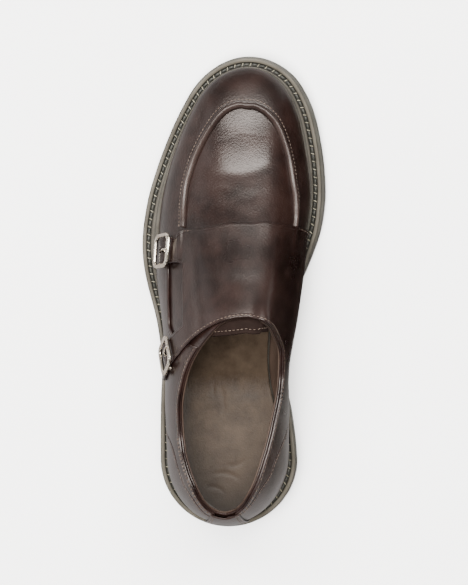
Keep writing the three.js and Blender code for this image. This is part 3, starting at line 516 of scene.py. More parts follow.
upper_us = np.unique(np.concatenate([
    np.linspace(0, HEEL_SHARE, 40), np.linspace(HEEL_SHARE, 0.36, 30), np.linspace(0.36, THROAT_U, 24),
    np.linspace(THROAT_U, TOE_SHARE, 50), np.linspace(TOE_SHARE, 1, 60)]))
APRON_CREASES = [
    # start x and y, end x and y, bow, width, depth: the flex of the toes across the apron
    (-22, 245, 40, 248, -7.0, 11.0, 0.90),
    (-18, 232, 37, 237, -10.5, 4.6, -0.46),
    (-24, 197, 44, 197, 0.0, 12.0, 0.80),
    (-5, 221, 29, 223, -4.0, 1.5, -0.08),
    (-14, 216, 14, 213, 1.0, 1.9, -0.08),
    (3, 209, 31, 213, -1.5, 2.2, -0.10),
    (-15, 207, 8, 210, 2.0, 3.5, 0.10),
    (-14, 246, 7, 249, -1.5, 1.3, -0.06),
    (5, 252, 30, 249, -1.0, 1.3, -0.05),
    (16, 206, 30, 226, 2.0, 3.0, -0.12),
    (2, 208, -12, 226, -2.0, 3.0, -0.12),
]
outer, grid_sides, grid_us, grid_t = shoe_grid(upper_us, upper_rows, 0.0)
seam_t = apron_at(grid_sides, grid_us)
beyond_seam = (grid_t - seam_t[:, None]) / share_of_millimetre(grid_sides, grid_us, seam_t)[:, None]
on_apron = smooth_step(0.5, 1.5, beyond_seam)
outer[..., 2] += worn_lines(outer[..., 0], outer[..., 1], APRON_CREASES) * on_apron
inner = shoe_grid(upper_us, upper_rows, -UPPER_WALL * VAMP_SHARE)[0]
stations, rows = outer.shape[:2]


def shell_faces(stations, rows, around_us):
    """Faces of a closed shell: outside, inside and the rims, apart from where its sides meet."""
    count = stations * rows
    outside = grid_faces(stations, rows, around=True)
    rims = []
    for row in (0, rows - 1):
        ids = np.arange(stations) * rows + row
        for k, (a, b) in enumerate(zip(ids, np.roll(ids, -1))):
            met = min(around_us[k], around_us[(k + 1) % stations]) >= THROAT_U - 1e-6
            if row == 0 or not met:
                rims.append([a, b, b + count, a + count])
    return [*outside.tolist(), *(outside[:, ::-1] + count).tolist(), *rims]


from_seam = -beyond_seam.ravel()
vamp = make_piece("vamp", np.concatenate([outer.reshape(-1, 3), inner.reshape(-1, 3)]),
                  shell_faces(stations, rows, grid_us), "vamp_leather", ["upper"],
                  {"from_seam": np.concatenate([from_seam, from_seam])})


def polished_leather(name, grain=0.3, dark=(0.0034, 0.0015, 0.0012, 1), light=(0.0098, 0.0046, 0.0036, 1),
                     rough=(0.22, 0.36), wax=0.12, seam_shade=False):
    """Polished calf; on the vamp its colour is darkened beside the apron's seam, as painted shade in the
    hollow there.
    """
    material, shader, start = new_material(name, Coat_Roughness=0.18, Specular_IOR_Level=0.4,
                                           Specular_Tint=(1.0, 0.93, 0.89, 1))
    place = start.node("ShaderNodeTexCoord", output=3)
    cloud = noise(start, place, 22)
    patch = noise(start, place, 90)
    pores = start.node("ShaderNodeTexVoronoi", {}, {"Vector": place, "Scale": 900.0})
    fine = noise(start, place, 1600, 3)
    colour = (cloud * 0.6 + patch * 0.4).between(0.35, 0.65).mixed(dark, light)
    if seam_shade:
        # painted shade: darker colour just outside the apron's seam, where the wall hollows beside the roll
        away = start.node("ShaderNodeAttribute", {"attribute_name": "from_seam"}, output=2)
        shaded = (1 - away.between(2.0, 11.0)) * away.between(-1.5, 0.5)
        colour = (shaded * 0.75).mixed(colour, (0.006, 0.0035, 0.003, 1))
    height = pores * 0.7 + fine * 0.5
    bump = relief(start, grain, 0.0002, height)
    roughness = cloud * (rough[1] - rough[0]) + rough[0]
    coat = patch.between(0.2, 0.8) * wax + wax / 3
    feed(shader, start, Base_Color=colour, Roughness=roughness, Coat_Weight=coat, Normal=bump)
    return material


vamp.data.materials.append(polished_leather("vamp leather", grain=0.42, seam_shade=True))

# Lining. Soft brown calf glued inside the quarters and the vamp, its upper edge level with the
# collar. It is the inner part of the upper's wall.
LINING_SHARE = 0.6


def lining_rows(side, u):
    edge = collar_at(side, u)
    t = np.linspace(0, 1, 40)[None, :] * edge[:, None]
    return t, np.zeros_like(t)


outside = shoe_grid(upper_us, lining_rows, -UPPER_WALL * LINING_SHARE)[0]
inside = shoe_grid(upper_us, lining_rows, -UPPER_WALL)[0]
stations, rows = outside.shape[:2]
lining = make_piece("lining", np.concatenate([outside.reshape(-1, 3), inside.reshape(-1, 3)]),
                    shell_faces(stations, rows, grid_us), "sock_leather")
material, shader, start = new_material("lining leather", Roughness=0.55, Specular_IOR_Level=0.25)
place = start.node("ShaderNodeTexCoord", output=3)
cloud = noise(start, place, 30)
colour = cloud.between(0.3, 0.7).mixed((0.019, 0.0115, 0.0085, 1), (0.035, 0.0235, 0.0175, 1))
bump = relief(start, 0.1, 0.0003, noise(start, place, 700))
feed(shader, start, Base_Color=colour, Normal=bump)
lining.data.materials.append(material)


# Quarter of the lateral side. Smooth calf cut in one piece from the throat to the heel, lying on
# the vamp; the straps buckle over it. Its upper edge is sewn to the lining along the collar.
HEM = 0.015
REST = 0.25
QUARTER_THICK = 1.3
LATERAL_SEAM_FOOT = 0.246

lateral_seam, medial_seam = smooth_table([
    [0.000, 0.520, 0.550],
    [0.040, 0.530, 0.580],
    [0.055, 0.550, 0.595],
    [0.080, 0.563, 0.600],
    [0.105, 0.536, 0.580],
    [0.137, 0.498, 0.515],
    [0.159, 0.465, 0.492],
    [0.186, 0.413, 0.440],
    [0.212, 0.314, 0.365],
    [0.231, 0.163, 0.295],
    [0.246, 0.030, 0.235],
    [0.270, 0.030, 0.140],
    [0.300, 0.030, 0.030],
])


def seam_at(side, u, away):
    t = by_side(side, lateral_seam, medial_seam, u)
    return t + away * share_of_millimetre(side, u, t)


def edge_distance(points, edge_points):
    """Distance in millimetres of each point from the nearest of the edge points."""
    nearest = np.full(len(points), 1e9)
    for chunk in range(0, len(edge_points), 64):
        gaps = np.linalg.norm(points[:, None] - edge_points[None, chunk:chunk + 64], axis=-1)
        nearest = np.minimum(nearest, gaps.min(1))
    return nearest


def leather_sheet(name, u, v, lift, faces, thick, slot, replaced=(), sewn=None, raised=None):
    """A sheet lying over the upper: rounded cut edges, closed underneath, with how far each place
    is from its sewn edge kept for the material."""
    u, v, lift = (np.asarray(values, float).ravel() for values in (u, v, lift))
    normal = last_normal(side_of(v), u, 1 - np.abs(v))
    base = last_point(side_of(v), u, 1 - np.abs(v)) + normal * (REST + lift)[:, None]
    top = base + normal * thick
    if raised is not None:
        top = top + normal * raised[:, None]
    count = len(top)
    faces = np.asarray(faces)
    diagonal = np.cross(top[faces[:, 2]] - top[faces[:, 0]], top[faces[:, 3]] - top[faces[:, 1]])
    if np.sum(diagonal * normal[faces[:, 0]]) < 0:
        faces = faces[:, ::-1]
    start = faces.ravel()
    end = np.roll(faces, -1, axis=1).ravel()
    codes = start * count + end
    open_edge = ~np.isin(codes, end * count + start)
    start, end = start[open_edge], end[open_edge]
    run = top[end] - top[start]
    run /= np.linalg.norm(run, axis=1, keepdims=True)
    tangent = np.zeros_like(top)
    np.add.at(tangent, start, run)
    np.add.at(tangent, end, run)
    rim = np.unique(start)
    inward = np.cross(normal[rim], tangent[rim])
    inward /= np.linalg.norm(inward, axis=1, keepdims=True)
    rounding = min(0.5, thick * 0.42)
    rim_rings = []
    for inset, depth in ((0.3, 0.3), (0.0, 1.0)):
        rim_rings.append(top[rim] + inward * rounding * inset - normal[rim] * rounding * depth)
    edge_points = top[rim if sewn is None else rim[sewn[rim]]]
    distance = edge_distance(top, edge_points) if len(edge_points) else np.full(count, 50.0)
    top = top.copy()
    top[rim] += inward * rounding
    distance[rim] = np.where(distance[rim] < 0.01, rounding, distance[rim])
    place = np.zeros(count, int)
    place[rim] = np.arange(len(rim))
    rings = [count + place, count + len(rim) + place]
    under = count + 2 * len(rim)
    walls = []
    levels = [lambda k: k, lambda k: rings[0][k], lambda k: rings[1][k], lambda k: under + k]
    for upper_level, lower_level in zip(levels[:-1], levels[1:]):
        walls.append(np.stack([upper_level(end), upper_level(start),
                               lower_level(start), lower_level(end)], 1))
    points = np.concatenate([top, *rim_rings, base])
    marks = np.concatenate([distance, np.zeros(2 * len(rim) + count)])
    all_faces = np.concatenate([faces, faces[:, ::-1] + under, *walls])
    return make_piece(name, points, all_faces, slot, replaced, {"from_edge": marks})


quarter_rows = np.array([
    # top u, top v, foot u, foot v
    [0.512, -0.605, 0.531, HEM - 1],
    [0.495, -0.570, 0.500, HEM - 1],
    [0.455, -0.586, 0.455, HEM - 1],
    [0.425, -0.606, 0.425, HEM - 1],
    [0.400, -0.612, 0.398, HEM - 1],
    [0.386, -0.560, 0.382, HEM - 1],
    [0.373, -0.460, 0.368, HEM - 1],
])
quarter_top_u, quarter_top_v, quarter_foot_u, quarter_foot_v = smooth_table(
    np.column_stack([np.arange(7), quarter_rows]))
front_rows = np.linspace(0, 6, 61)
back_us = np.linspace(0.357, 0.024, 150)
back_side = np.full_like(back_us, LATERAL)
back_foot = np.where(back_us > LATERAL_SEAM_FOOT, HEM, np.maximum(HEM, seam_at(back_side, back_us, 0.35)))
top_u = np.concatenate([quarter_top_u(front_rows), back_us])
top_v = np.concatenate([quarter_top_v(front_rows), collar_at(back_side, back_us) - 1])
foot_u = np.concatenate([quarter_foot_u(front_rows), back_us])
foot_v = np.concatenate([quarter_foot_v(front_rows), back_foot - 1])
shares = np.linspace(0, 1, 37)
quarter_u = top_u[:, None] + (foot_u - top_u)[:, None] * shares
quarter_v = top_v[:, None] + (foot_v - top_v)[:, None] * shares
sewn = np.zeros(quarter_u.shape, bool)
sewn[:, 0] = True
quarter = leather_sheet("quarter", quarter_u, quarter_v, np.zeros(quarter_u.size),
                        grid_faces(*quarter_u.shape), QUARTER_THICK, "quarter_leather", ["outer_quarter"],
                        sewn=sewn.ravel())


def sewn_leather(name, groove=1.9, second=None, **look):
    """Polished leather with a shallow groove for the stitches along its sewn edge."""
    material = polished_leather(name, **look)
    start = Shade(material.node_tree)
    shader = material.node_tree.nodes["Principled BSDF"]
    away = start.node("ShaderNodeAttribute", {"attribute_name": "from_edge"}, output=2)
    dip = start.maths("ABSOLUTE", away - groove).between(0.15, 0.75)
    if second:
        dip = start.maths("MINIMUM", dip, start.maths("ABSOLUTE", away - second).between(0.15, 0.75))
    grain = Shade(material.node_tree, shader.inputs["Normal"].links[0].from_socket)
    feed(shader, start, Normal=relief(start, 0.6, 0.00035, dip, Normal=grain))
    return material


quarter.data.materials.append(sewn_leather("quarter leather", groove=1.6, second=3.2))


def thread_run(points, normals, pitch, length, width, height, slant=0.0, offset=0.0):
    """Stitches along a line: small rounded threads, half sunk in the leather."""
    steps = np.linalg.norm(np.diff(points, axis=0), axis=1)
    reach = np.concatenate([[0], np.cumsum(steps)])
    middles = np.arange(pitch * (0.5 + offset), reach[-1] - pitch * 0.3, pitch)

    def at(values, where):
        return np.stack([np.interp(where, reach, values[:, k]) for k in range(3)], -1)

    centre = at(points, middles)
    along = at(points, middles + length * 0.4) - at(points, middles - length * 0.4)
    along /= np.linalg.norm(along, axis=1, keepdims=True)
    normal = at(normals, middles)
    normal -= along * np.sum(normal * along, 1, keepdims=True)
    normal /= np.linalg.norm(normal, axis=1, keepdims=True)
    beside = np.cross(normal, along)
    turned = along * math.cos(slant) + beside * math.sin(slant)
    beside = np.cross(normal, turned)
    rings, sides = 6, 6
    share = np.linspace(-1, 1, rings)
    swell = np.sqrt(np.clip(1 - np.abs(share) ** 3, 0.0, 1)) * 0.9 + 0.1
    angle = np.linspace(0, 2 * math.pi, sides, endpoint=False)
    ends_down = 0.25 * height * (share ** 2)[:, None]
    local = np.stack([
        np.repeat(share * length / 2, sides),
        (swell[:, None] * np.cos(angle)[None, :] * width / 2).ravel(),
        (swell[:, None] * np.sin(angle)[None, :] * height / 2 - ends_down).ravel(),
    ], -1)
    made = (centre[:, None] + local[None, :, :1] * turned[:, None] + local[None, :, 1:2] * beside[:, None]
            + local[None, :, 2:3] * normal[:, None]).reshape(-1, 3)
    one = []
    for low in range(0, (rings - 1) * sides, sides):
        for k in range(sides):
            ahead = (k + 1) % sides
            one.append([low + k, low + ahead, low + sides + ahead, low + sides + k])
    caps = [list(range(sides))[::-1], [(rings - 1) * sides + k for k in range(sides)]]
    faces = []
    for k in range(len(centre)):
        first = k * rings * sides
        faces += [[place + first for place in face] for face in one + caps]
    return made, faces


def joined(parts):
    """Several meshes, each its points and faces, as one."""
    points, faces = [], []
    for made, made_faces in parts:
        first = sum(map(len, points))
        points.append(made)
        faces += [[k + first for k in face] for face in made_faces]
    return np.concatenate(points), faces


def sewing(name, lines, slot, material, pitch=2.6, length=1.9, width=0.42, height=0.4):
    """One piece of thread out of several lines (u, v, height over the upper, inset to the left)."""
    runs = []
    for u, v, height_over, inset in lines:
        u, v = np.asarray(u, float), np.asarray(v, float)
        height_over = np.broadcast_to(height_over, u.shape)
        place = across(u, v, height_over)
        normal = last_normal(side_of(v), u, 1 - np.abs(v))
        run = np.gradient(place, axis=0)
        left = np.cross(normal, run)
        left /= np.linalg.norm(left, axis=1, keepdims=True)
        runs.append(thread_run(place + left * inset, normal, pitch, length, width, height))
    piece = make_piece(name, *joined(runs), slot)
    piece.data.materials.append(material)
    return piece


def clouded(name, scale, dark, light, spread=(0.3, 0.7), **constants):
    """A material whose colour wanders softly between two shades."""
    material, shader, start = new_material(name, **constants)
    place = start.node("ShaderNodeTexCoord", output=3)
    feed(shader, start, Base_Color=noise(start, place, scale).between(*spread).mixed(dark, light))
    return material


thread = clouded("waxed thread", 300, (0.050, 0.034, 0.026, 1), (0.105, 0.078, 0.060, 1), Roughness=0.45)
collar_run = back_us[::-1]
collar_top = collar_at(np.full_like(collar_run, LATERAL), collar_run) - 1
quarter_top_height = REST + QUARTER_THICK
sewing("quarter_stitches", [
    (collar_run, collar_top, quarter_top_height, 1.6),
    (collar_run[:85], collar_top[:85], quarter_top_height, 3.2),
], "quarter_leather", thread)

# Instep panel. One piece of calf makes the whole medial quarter, crosses the instep and ends in two
# straps on the lateral side. It is sewn down along its front edge; its throat edge is folded.
PANEL_THICK = 1.5
STEP = QUARTER_THICK + REST
REAR_STRAP_END = 0.19
FRONT_STRAP_START = 0.68
RIDGE_ROW = 5
PANEL_CORNER = 13
PANEL_FOOT = 16
PANEL_END = 29
MEDIAL_SEAM_FOOT = 0.3
medial_seam_us = [0.285, 0.27, 0.255, 0.24, 0.212, 0.186, 0.16, 0.136, 0.113, 0.09, 0.068, 0.046, 0.024]
throat_u, throat_v, throat_lift = smooth_table([
    [0, 0.357, -0.435, 1.00],
    [1, 0.372, -0.345, 1.00],
    [2, 0.385, -0.262, 0.70],
    [3, 0.397, -0.172, 0.20],
    [4, 0.405, -0.092, 0.00],
    [5, 0.408, 0.000, 0.00],
])
medial_edge_u, = smooth_table([
    [5, 0.408], [6, 0.407], [7, 0.403], [8, 0.395], [9, 0.376], [10, 0.355], [11, 0.332], [12, 0.312],
    [13, 0.295], [14, 0.278], [15, 0.262], [16, 0.245], [17, 0.236], [18, 0.228], [19, 0.220], [20, 0.212],
    [21, 0.195], [22, 0.177], [23, 0.157], [24, 0.136], [25, 0.113], [26, 0.090], [27, 0.068], [28, 0.046],
    [29, 0.024],
])
front_u, front_v = smooth_table([
    [0, 0.574, -0.424], [1, 0.577, -0.345], [2, 0.583, -0.252], [3, 0.594, -0.165], [4, 0.602, -0.090],
    [5, 0.6085, 0.000], [6, 0.6000, 0.100], [7, 0.589, 0.190], [8, 0.582, 0.275], [9, 0.576, 0.370],
    [10, 0.570, 0.500], [11, 0.563, 0.640], [12, 0.556, 0.800], [13, 0.550, 1 - HEM], [14, 0.470, 1 - HEM],
    [15, 0.385, 1 - HEM], [16, MEDIAL_SEAM_FOOT, 1 - HEM],
])
panel_seam_u, = smooth_table([
    [PANEL_FOOT + k, u] for k, u in enumerate([MEDIAL_SEAM_FOOT] + medial_seam_us)])


def edge_over_ridge(rows, us, vs):
    """An edge through known places whose line stays smooth where it crosses the ridge."""
    rows, us, vs = (np.asarray(values, float) for values in (rows, us, vs))
    v_at, y_at = smooth_table(np.column_stack([rows, vs, across(us, vs, np.zeros(len(us)))[:, 1]]))

    def read(row):
        v, y = v_at(row), y_at(row)
        u = np.interp(row, rows, us)
        for _ in range(4):
            here = last_point(side_of(v), u, 1 - np.abs(v))[..., 1]
            ahead = last_point(side_of(v), u + 1e-3, 1 - np.abs(v))[..., 1]
            u = u + 1e-3 * (y - here) / (ahead - here)
        return u, v
    return read


throat_rows = np.arange(11)
throat_us = np.where(throat_rows < RIDGE_ROW, throat_u(throat_rows), medial_edge_u(throat_rows))
throat_vs = np.where(throat_rows < RIDGE_ROW, throat_v(throat_rows),
                     1 - collar_at(np.ones(11), throat_us))
THROAT_FOLD = np.array([0, 0, 0, 0.001, 0.004, 0.007, 0.005, 0, 0, 0, 0])
throat_edge = edge_over_ridge(throat_rows, throat_us - THROAT_FOLD, throat_vs)
front_edge = edge_over_ridge(np.arange(17), front_u(np.arange(17)), front_v(np.arange(17)))


def panel_place(row, share):
    """u, v and lift over the upper of a place on the panel: rows run from the straps round the
    instep to the heel, shares from the throat or collar to the front edge."""
    row, share = np.broadcast_arrays(np.asarray(row, float), np.asarray(share, float))
    rear_u, rear_v = throat_edge(np.minimum(row, 8))
    edge_u = medial_edge_u(row)
    rear_u = np.where(row < 8, rear_u, edge_u)
    rear_v = np.where(row < 8, rear_v, 1 - collar_at(np.ones_like(row), edge_u))
    rear_lift = np.where(row < RIDGE_ROW, throat_lift(row), 0)
    seam_u = panel_seam_u(row)
    low_u, low_v = front_edge(np.minimum(row, PANEL_FOOT))
    low_u = np.where(row <= PANEL_FOOT, low_u, seam_u)
    low_v = np.where(row <= PANEL_FOOT, np.minimum(low_v, 1 - HEM),
                     np.minimum(1 - HEM, 1 - seam_at(np.ones_like(row), seam_u, 0.35)))
    u = rear_u + (low_u - rear_u) * share
    v = rear_v + (low_v - rear_v) * share
    return u, v, STEP * rear_lift * (1 - share) ** 2


front_strap = smooth_table([
    [1.0, 0.5070, -0.450, 0.5620, -0.465],
    [2.0, 0.5070, -0.500, 0.5550, -0.500],
    [2.6, 0.5055, -0.565, 0.5535, -0.565],
    [3.0, 0.5040, -0.600, 0.5520, -0.600],
    [3.4, 0.5030, -0.635, 0.5495, -0.635],
    [4.0, 0.5010, -0.705, 0.5450, -0.705],
    [5.0, 0.4960, -0.790, 0.5380, -0.790],
    [5.6, 0.4960, -0.840, 0.5320, -0.840],
    [6.0, 0.5020, -0.868, 0.5220, -0.868],
])
rear_strap = smooth_table([
    [1.0, 0.3500, -0.4780, 0.3900, -0.5050],
    [2.0, 0.3424, -0.5375, 0.3790, -0.5797],
    [3.0, 0.3324, -0.5987, 0.3690, -0.6483],
    [4.0, 0.3215, -0.6631, 0.3574, -0.7109],
    [5.0, 0.3133, -0.7217, 0.3457, -0.7703],
    [5.6, 0.3115, -0.7570, 0.3365, -0.7950],
    [6.0, 0.3155, -0.7780, 0.3275, -0.7950],
])
strap_lift, = smooth_table([
    [1.00, 0.80], [2.00, 1.00], [2.35, 1.02], [2.60, 1.60], [2.80, 2.08], [3.25, 2.08], [3.60, 1.05],
    [4.00, 1.00], [6.00, 1.00],
])


def strap_place(strap, row, share):
    rear_u, rear_v, fore_u, fore_v = (edge(row) for edge in strap)
    return rear_u + (fore_u - rear_u) * share, rear_v + (fore_v - rear_v) * share, STEP * strap_lift(row)


strap_shares = np.array([0, 0.05, 0.12, 0.2, 0.28, 0.35, 0.42, 0.5, 0.58, 0.65, 0.72, 0.8, 0.88, 0.95, 1])
SLOT_COLUMNS = (6, 7)
SLOT_START = 2.35
SLOT_END = 3.6
panel_shares = np.concatenate([
    strap_shares * REAR_STRAP_END,
    np.linspace(REAR_STRAP_END, FRONT_STRAP_START, 18)[1:-1],
    FRONT_STRAP_START + strap_shares * (1 - FRONT_STRAP_START)])
panel_rows = np.concatenate([
    np.linspace(0, PANEL_CORNER, 118), np.linspace(PANEL_CORNER, PANEL_FOOT, 31)[1:],
    np.linspace(PANEL_FOOT, PANEL_END, 66)[1:]])
grid_u, grid_v, grid_lift = panel_place(panel_rows[:, None], panel_shares[None, :])
panel_faces = [grid_faces(*grid_u.shape)]
sheet = [[grid_u.ravel()], [grid_v.ravel()], [grid_lift.ravel()]]
panel_sewn = np.zeros(grid_u.shape, bool)
panel_sewn[:, 0] = True
panel_sewn[panel_rows <= PANEL_CORNER, -1] = True
panel_sewn[0, :] = True
sheet_sewn = [panel_sewn.ravel()]
strap_rows = np.concatenate([
    np.linspace(0, SLOT_START, 22)[1:], np.linspace(SLOT_START, SLOT_END, 16)[1:],
    np.linspace(SLOT_END, 6, 24)[1:]])
columns = len(strap_shares)
for strap, first in ((rear_strap, 0), (front_strap, len(panel_shares) - columns)):
    start_u, start_v, start_lift = (
        values[0, first:first + columns] for values in (grid_u, grid_v, grid_lift))
    rows_u, rows_v, rows_lift = [], [], []
    for row in strap_rows:
        u, v, lift = strap_place(strap, max(row, 1.0), strap_shares)
        if row < 1:
            u = start_u + (u - start_u) * row
            v = start_v + (v - start_v) * row
            lift = start_lift + (lift - start_lift) * row
        rows_u.append(u)
        rows_v.append(v)
        rows_lift.append(np.broadcast_to(lift, u.shape))
    offset = sum(map(len, sheet[0]))
    ids = np.concatenate([[first + np.arange(columns)],
                          offset + np.arange(len(strap_rows) * columns).reshape(-1, columns)])
    quads = np.stack([ids[:-1, :-1], ids[:-1, 1:], ids[1:, 1:], ids[1:, :-1]], -1)
    row_starts = np.concatenate([[0], strap_rows[:-1]])
    in_slot = (row_starts > 2.55) & (strap_rows < 3.3)
    keep = np.ones(quads.shape[:2], bool)
    keep[np.ix_(in_slot, SLOT_COLUMNS)] = False
    panel_faces.append(quads[keep][:, ::-1])
    sheet[0].append(np.concatenate(rows_u))
    sheet[1].append(np.concatenate(rows_v))
    sheet[2].append(np.concatenate(rows_lift))
    edge_mark = np.zeros((len(strap_rows), columns), bool)
    edge_mark[:, 0] = edge_mark[:, -1] = True
    edge_mark[-1] = True
    sheet_sewn.append(edge_mark.ravel())
sheet_u, sheet_v, sheet_lift = (np.concatenate(values) for values in sheet)
hump = np.zeros_like(sheet_u)
for side in (LATERAL, MEDIAL):
    # the apron's seam still shows as a low ridge under the panel's front
    seam_v = side * (1 - apron_at(np.full_like(sheet_u, side), np.maximum(sheet_u, PANEL_FRONT_U)))
    hump += 0.8 * np.exp(-((sheet_v - seam_v) / 0.02) ** 2) * smooth_step(0.50, 0.585, sheet_u)
PANEL_FOLDS = [
    # start x and y, end x and y, bow, width, depth: soft hollows where the instep bends
    (-24, 197, 44, 197, 0.0, 12.0, 0.80),
    (-9, 190, 5, 140, 2.0, 5.5, -0.55),
    (-18, 186, -14, 145, 1.0, 5.0, 0.35),
    (28, 192, 24, 140, -2.0, 5.0, -0.40),
    (2, 158, 24, 156, -2.0, 4.5, -0.16),
]
panel_plan = across(sheet_u, sheet_v, np.zeros_like(sheet_u))
hump += worn_lines(panel_plan[:, 0], panel_plan[:, 1], PANEL_FOLDS)
panel = leather_sheet("instep_panel", sheet_u, sheet_v, sheet_lift, np.concatenate(panel_faces),
                      PANEL_THICK, "panel_leather", ["strap_panel"],
                      sewn=np.concatenate(sheet_sewn), raised=hump)
panel.data.materials.append(sewn_leather("panel leather", groove=1.7))
rows = np.linspace(0, 12.8, 160)
front_line = panel_place(rows, 1.0)
rear_rows = np.linspace(0, PANEL_END, 300)
rear_line = panel_place(rear_rows, 0.0)
sewing("panel_stitches", [
    (front_line[0], front_line[1], REST + PANEL_THICK + front_line[2], -1.5),
    (rear_line[0], rear_line[1], REST + PANEL_THICK + rear_line[2], 1.7),
], "panel_leather", thread)

# Counter. A stiff piece of calf round the heel under the ends of both quarters, sewn along its
# curved upper edge.
COUNTER_THICK = 1.3
turns = np.linspace(-(LATERAL_SEAM_FOOT - 0.004), MEDIAL_SEAM_FOOT - 0.004, 190)
turn_side = side_of(turns)
turn_u = np.abs(turns)
turn_top = np.maximum(HEM * 1.5, seam_at(turn_side, turn_u, -0.35))
shares = np.linspace(0, 1, 31)
counter_t = HEM + (turn_top[:, None] - HEM) * shares
counter_u = np.broadcast_to(turn_u[:, None], counter_t.shape)
counter_v = turn_side[:, None] * (1 - counter_t)
sewn = np.zeros(counter_t.shape, bool)
sewn[:, -1] = True
counter = leather_sheet("heel_counter", counter_u, counter_v, np.zeros(counter_t.size),
                        grid_faces(*counter_t.shape), COUNTER_THICK, "counter_leather", ["counter"],
                        sewn=sewn.ravel())
counter.data.materials.append(sewn_leather("counter leather", groove=1.4))
sewing("counter_stitches", [
    (turn_u, counter_v[:, -1], REST + COUNTER_THICK, -1.4),
], "counter_leather", thread)

# Backstay. The small tapered piece that covers the seam at the back of the heel, sewn twice down
# each side.
BACKSTAY_THICK = 1.0
STAY_FOOT_HALF = 0.044
STAY_TOP_HALF = 0.031
rows = np.linspace(-1, 1, 31)
shares = np.linspace(0, 1, 41)
half = STAY_FOOT_HALF + (STAY_TOP_HALF - STAY_FOOT_HALF) * shares
stay_w = rows[:, None] * half[None, :]
stay_side = side_of(stay_w)
stay_t = HEM + (collar_at(stay_side, np.abs(stay_w)) - HEM) * shares[None, :]
sewn = np.zeros(stay_w.shape, bool)
sewn[0] = sewn[-1] = True
stay_lift = np.full(stay_w.size, REST + PANEL_THICK)
stay_v = stay_side * (1 - stay_t)
stay = leather_sheet("heel_backstay", np.abs(stay_w), stay_v, stay_lift, grid_faces(*stay_w.shape),
                     BACKSTAY_THICK, "backstay_leather", ["backstay"], sewn=sewn.ravel())
stay.data.materials.append(sewn_leather("backstay leather", groove=1.1, second=2.6))
stay_height = REST * 2 + PANEL_THICK + BACKSTAY_THICK
sewing("backstay_stitches", [
    (np.abs(stay_w[row]), stay_v[row], stay_height, inset)
    for row, inset in ((0, -1.1), (0, -2.6), (-1, 1.1), (-1, 2.6))
], "backstay_leather", thread)

# Apron seam. The raised roll where the vamp's wall is drawn up and sewn to the apron by hand, with
# a finer row of stitches outside it.
SEAM_WIDTH = 4.2
OUTER_STITCHES = 4.4
SEAM_PLACES = 150
roll = np.array([
    # share of the seam's width, height over the vamp
    [-0.5, -0.3], [-0.5, 0.5], [-0.42, 1.4], [-0.25, 2.1], [0.0, 2.4], [0.25, 2.1], [0.42, 1.3],
    [0.5, 0.3], [0.5, -1.0]])
lateral_us = np.linspace(PANEL_FRONT_U - 0.008, 1, SEAM_PLACES)
medial_us = np.linspace(PANEL_FRONT_U - 0.024, 1, SEAM_PLACES)[::-1][1:]
seam_side = np.concatenate([np.full(len(lateral_us), LATERAL), np.full(len(medial_us), MEDIAL)])
seam_u = np.concatenate([lateral_us, medial_us])
seam_t = apron_at(seam_side, seam_u)
per_mm = share_of_millimetre(seam_side, seam_u, seam_t)
roll_t = seam_t[:, None] + roll[None, :, 0] * SEAM_WIDTH * per_mm[:, None]
roll_points = skin_point(seam_side[:, None], seam_u[:, None], roll_t,
                         np.broadcast_to(roll[None, :, 1], roll_t.shape))
around = len(roll)
quads = grid_faces(len(seam_u), around)
closing = [[k * around + around - 1, k * around, (k + 1) * around, (k + 1) * around + around - 1]
           for k in range(len(seam_u) - 1)]
ends = [list(range(around)), [(len(seam_u) - 1) * around + k for k in range(around)][::-1]]
seam = make_piece("apron_roll", roll_points.reshape(-1, 3), [*quads.tolist(), *closing, *ends],
                  "seam_leather", ["apron_seam"])
seam.data.materials.append(polished_leather(
    "seam leather", grain=0.2, dark=(0.0085, 0.0050, 0.0042, 1), light=(0.019, 0.012, 0.0100, 1),
    rough=(0.3, 0.42)))
outer_t = seam_t - OUTER_STITCHES * per_mm
sewing("apron_stitches", [
    (seam_u, seam_side * (1 - outer_t), 0.1, 0.0),
], "seam_leather", thread, pitch=2.4, length=1.7, width=0.4)

# Tongue. The soft, unpolished end of the vamp's lining, seen behind the throat. It lies under the
# panel's edge and has a row of stitches by its own.
TONGUE_THICK = 1.4
TONGUE_SINK = 3.9
tongue_rear, tongue_front = smooth_table([
    [-0.30, 0.378, 0.440],
    [-0.22, 0.376, 0.470],
    [-0.10, 0.374, 0.480],
    [0.00, 0.373, 0.482],
    [0.12, 0.378, 0.480],
    [0.24, 0.384, 0.470],
    [0.33, 0.388, 0.440],
])
tongue_v = np.linspace(-0.3, 0.33, 61)
shares = np.linspace(0, 1, 31)
rear = tongue_rear(tongue_v)
tongue_u = rear[:, None] + (tongue_front(tongue_v) - rear)[:, None] * shares
tongue_v_grid = np.broadcast_to(tongue_v[:, None], tongue_u.shape)
sewn = np.zeros(tongue_u.shape, bool)
sewn[:, 0] = True
tongue = leather_sheet("throat_tongue", tongue_u, tongue_v_grid, np.full(tongue_u.size, -TONGUE_SINK - REST),
                       grid_faces(*tongue_u.shape), TONGUE_THICK, "tongue_leather", ["tongue"],
                       sewn=sewn.ravel())
# painted shade: the tongue's colours are made very dark for the shadow under the panel's throat edge
material = sewn_leather("tongue leather", groove=2.6, dark=(0.005, 0.003, 0.0024, 1),
                        light=(0.010, 0.006, 0.005, 1), rough=(0.6, 0.75), wax=0.0)
material.node_tree.nodes["Principled BSDF"].inputs["Specular IOR Level"].default_value = 0.05
tongue.data.materials.append(material)
sewing("tongue_stitches", [
    (rear, tongue_v, TONGUE_THICK - TONGUE_SINK, 2.6),
], "tongue_leather", thread)

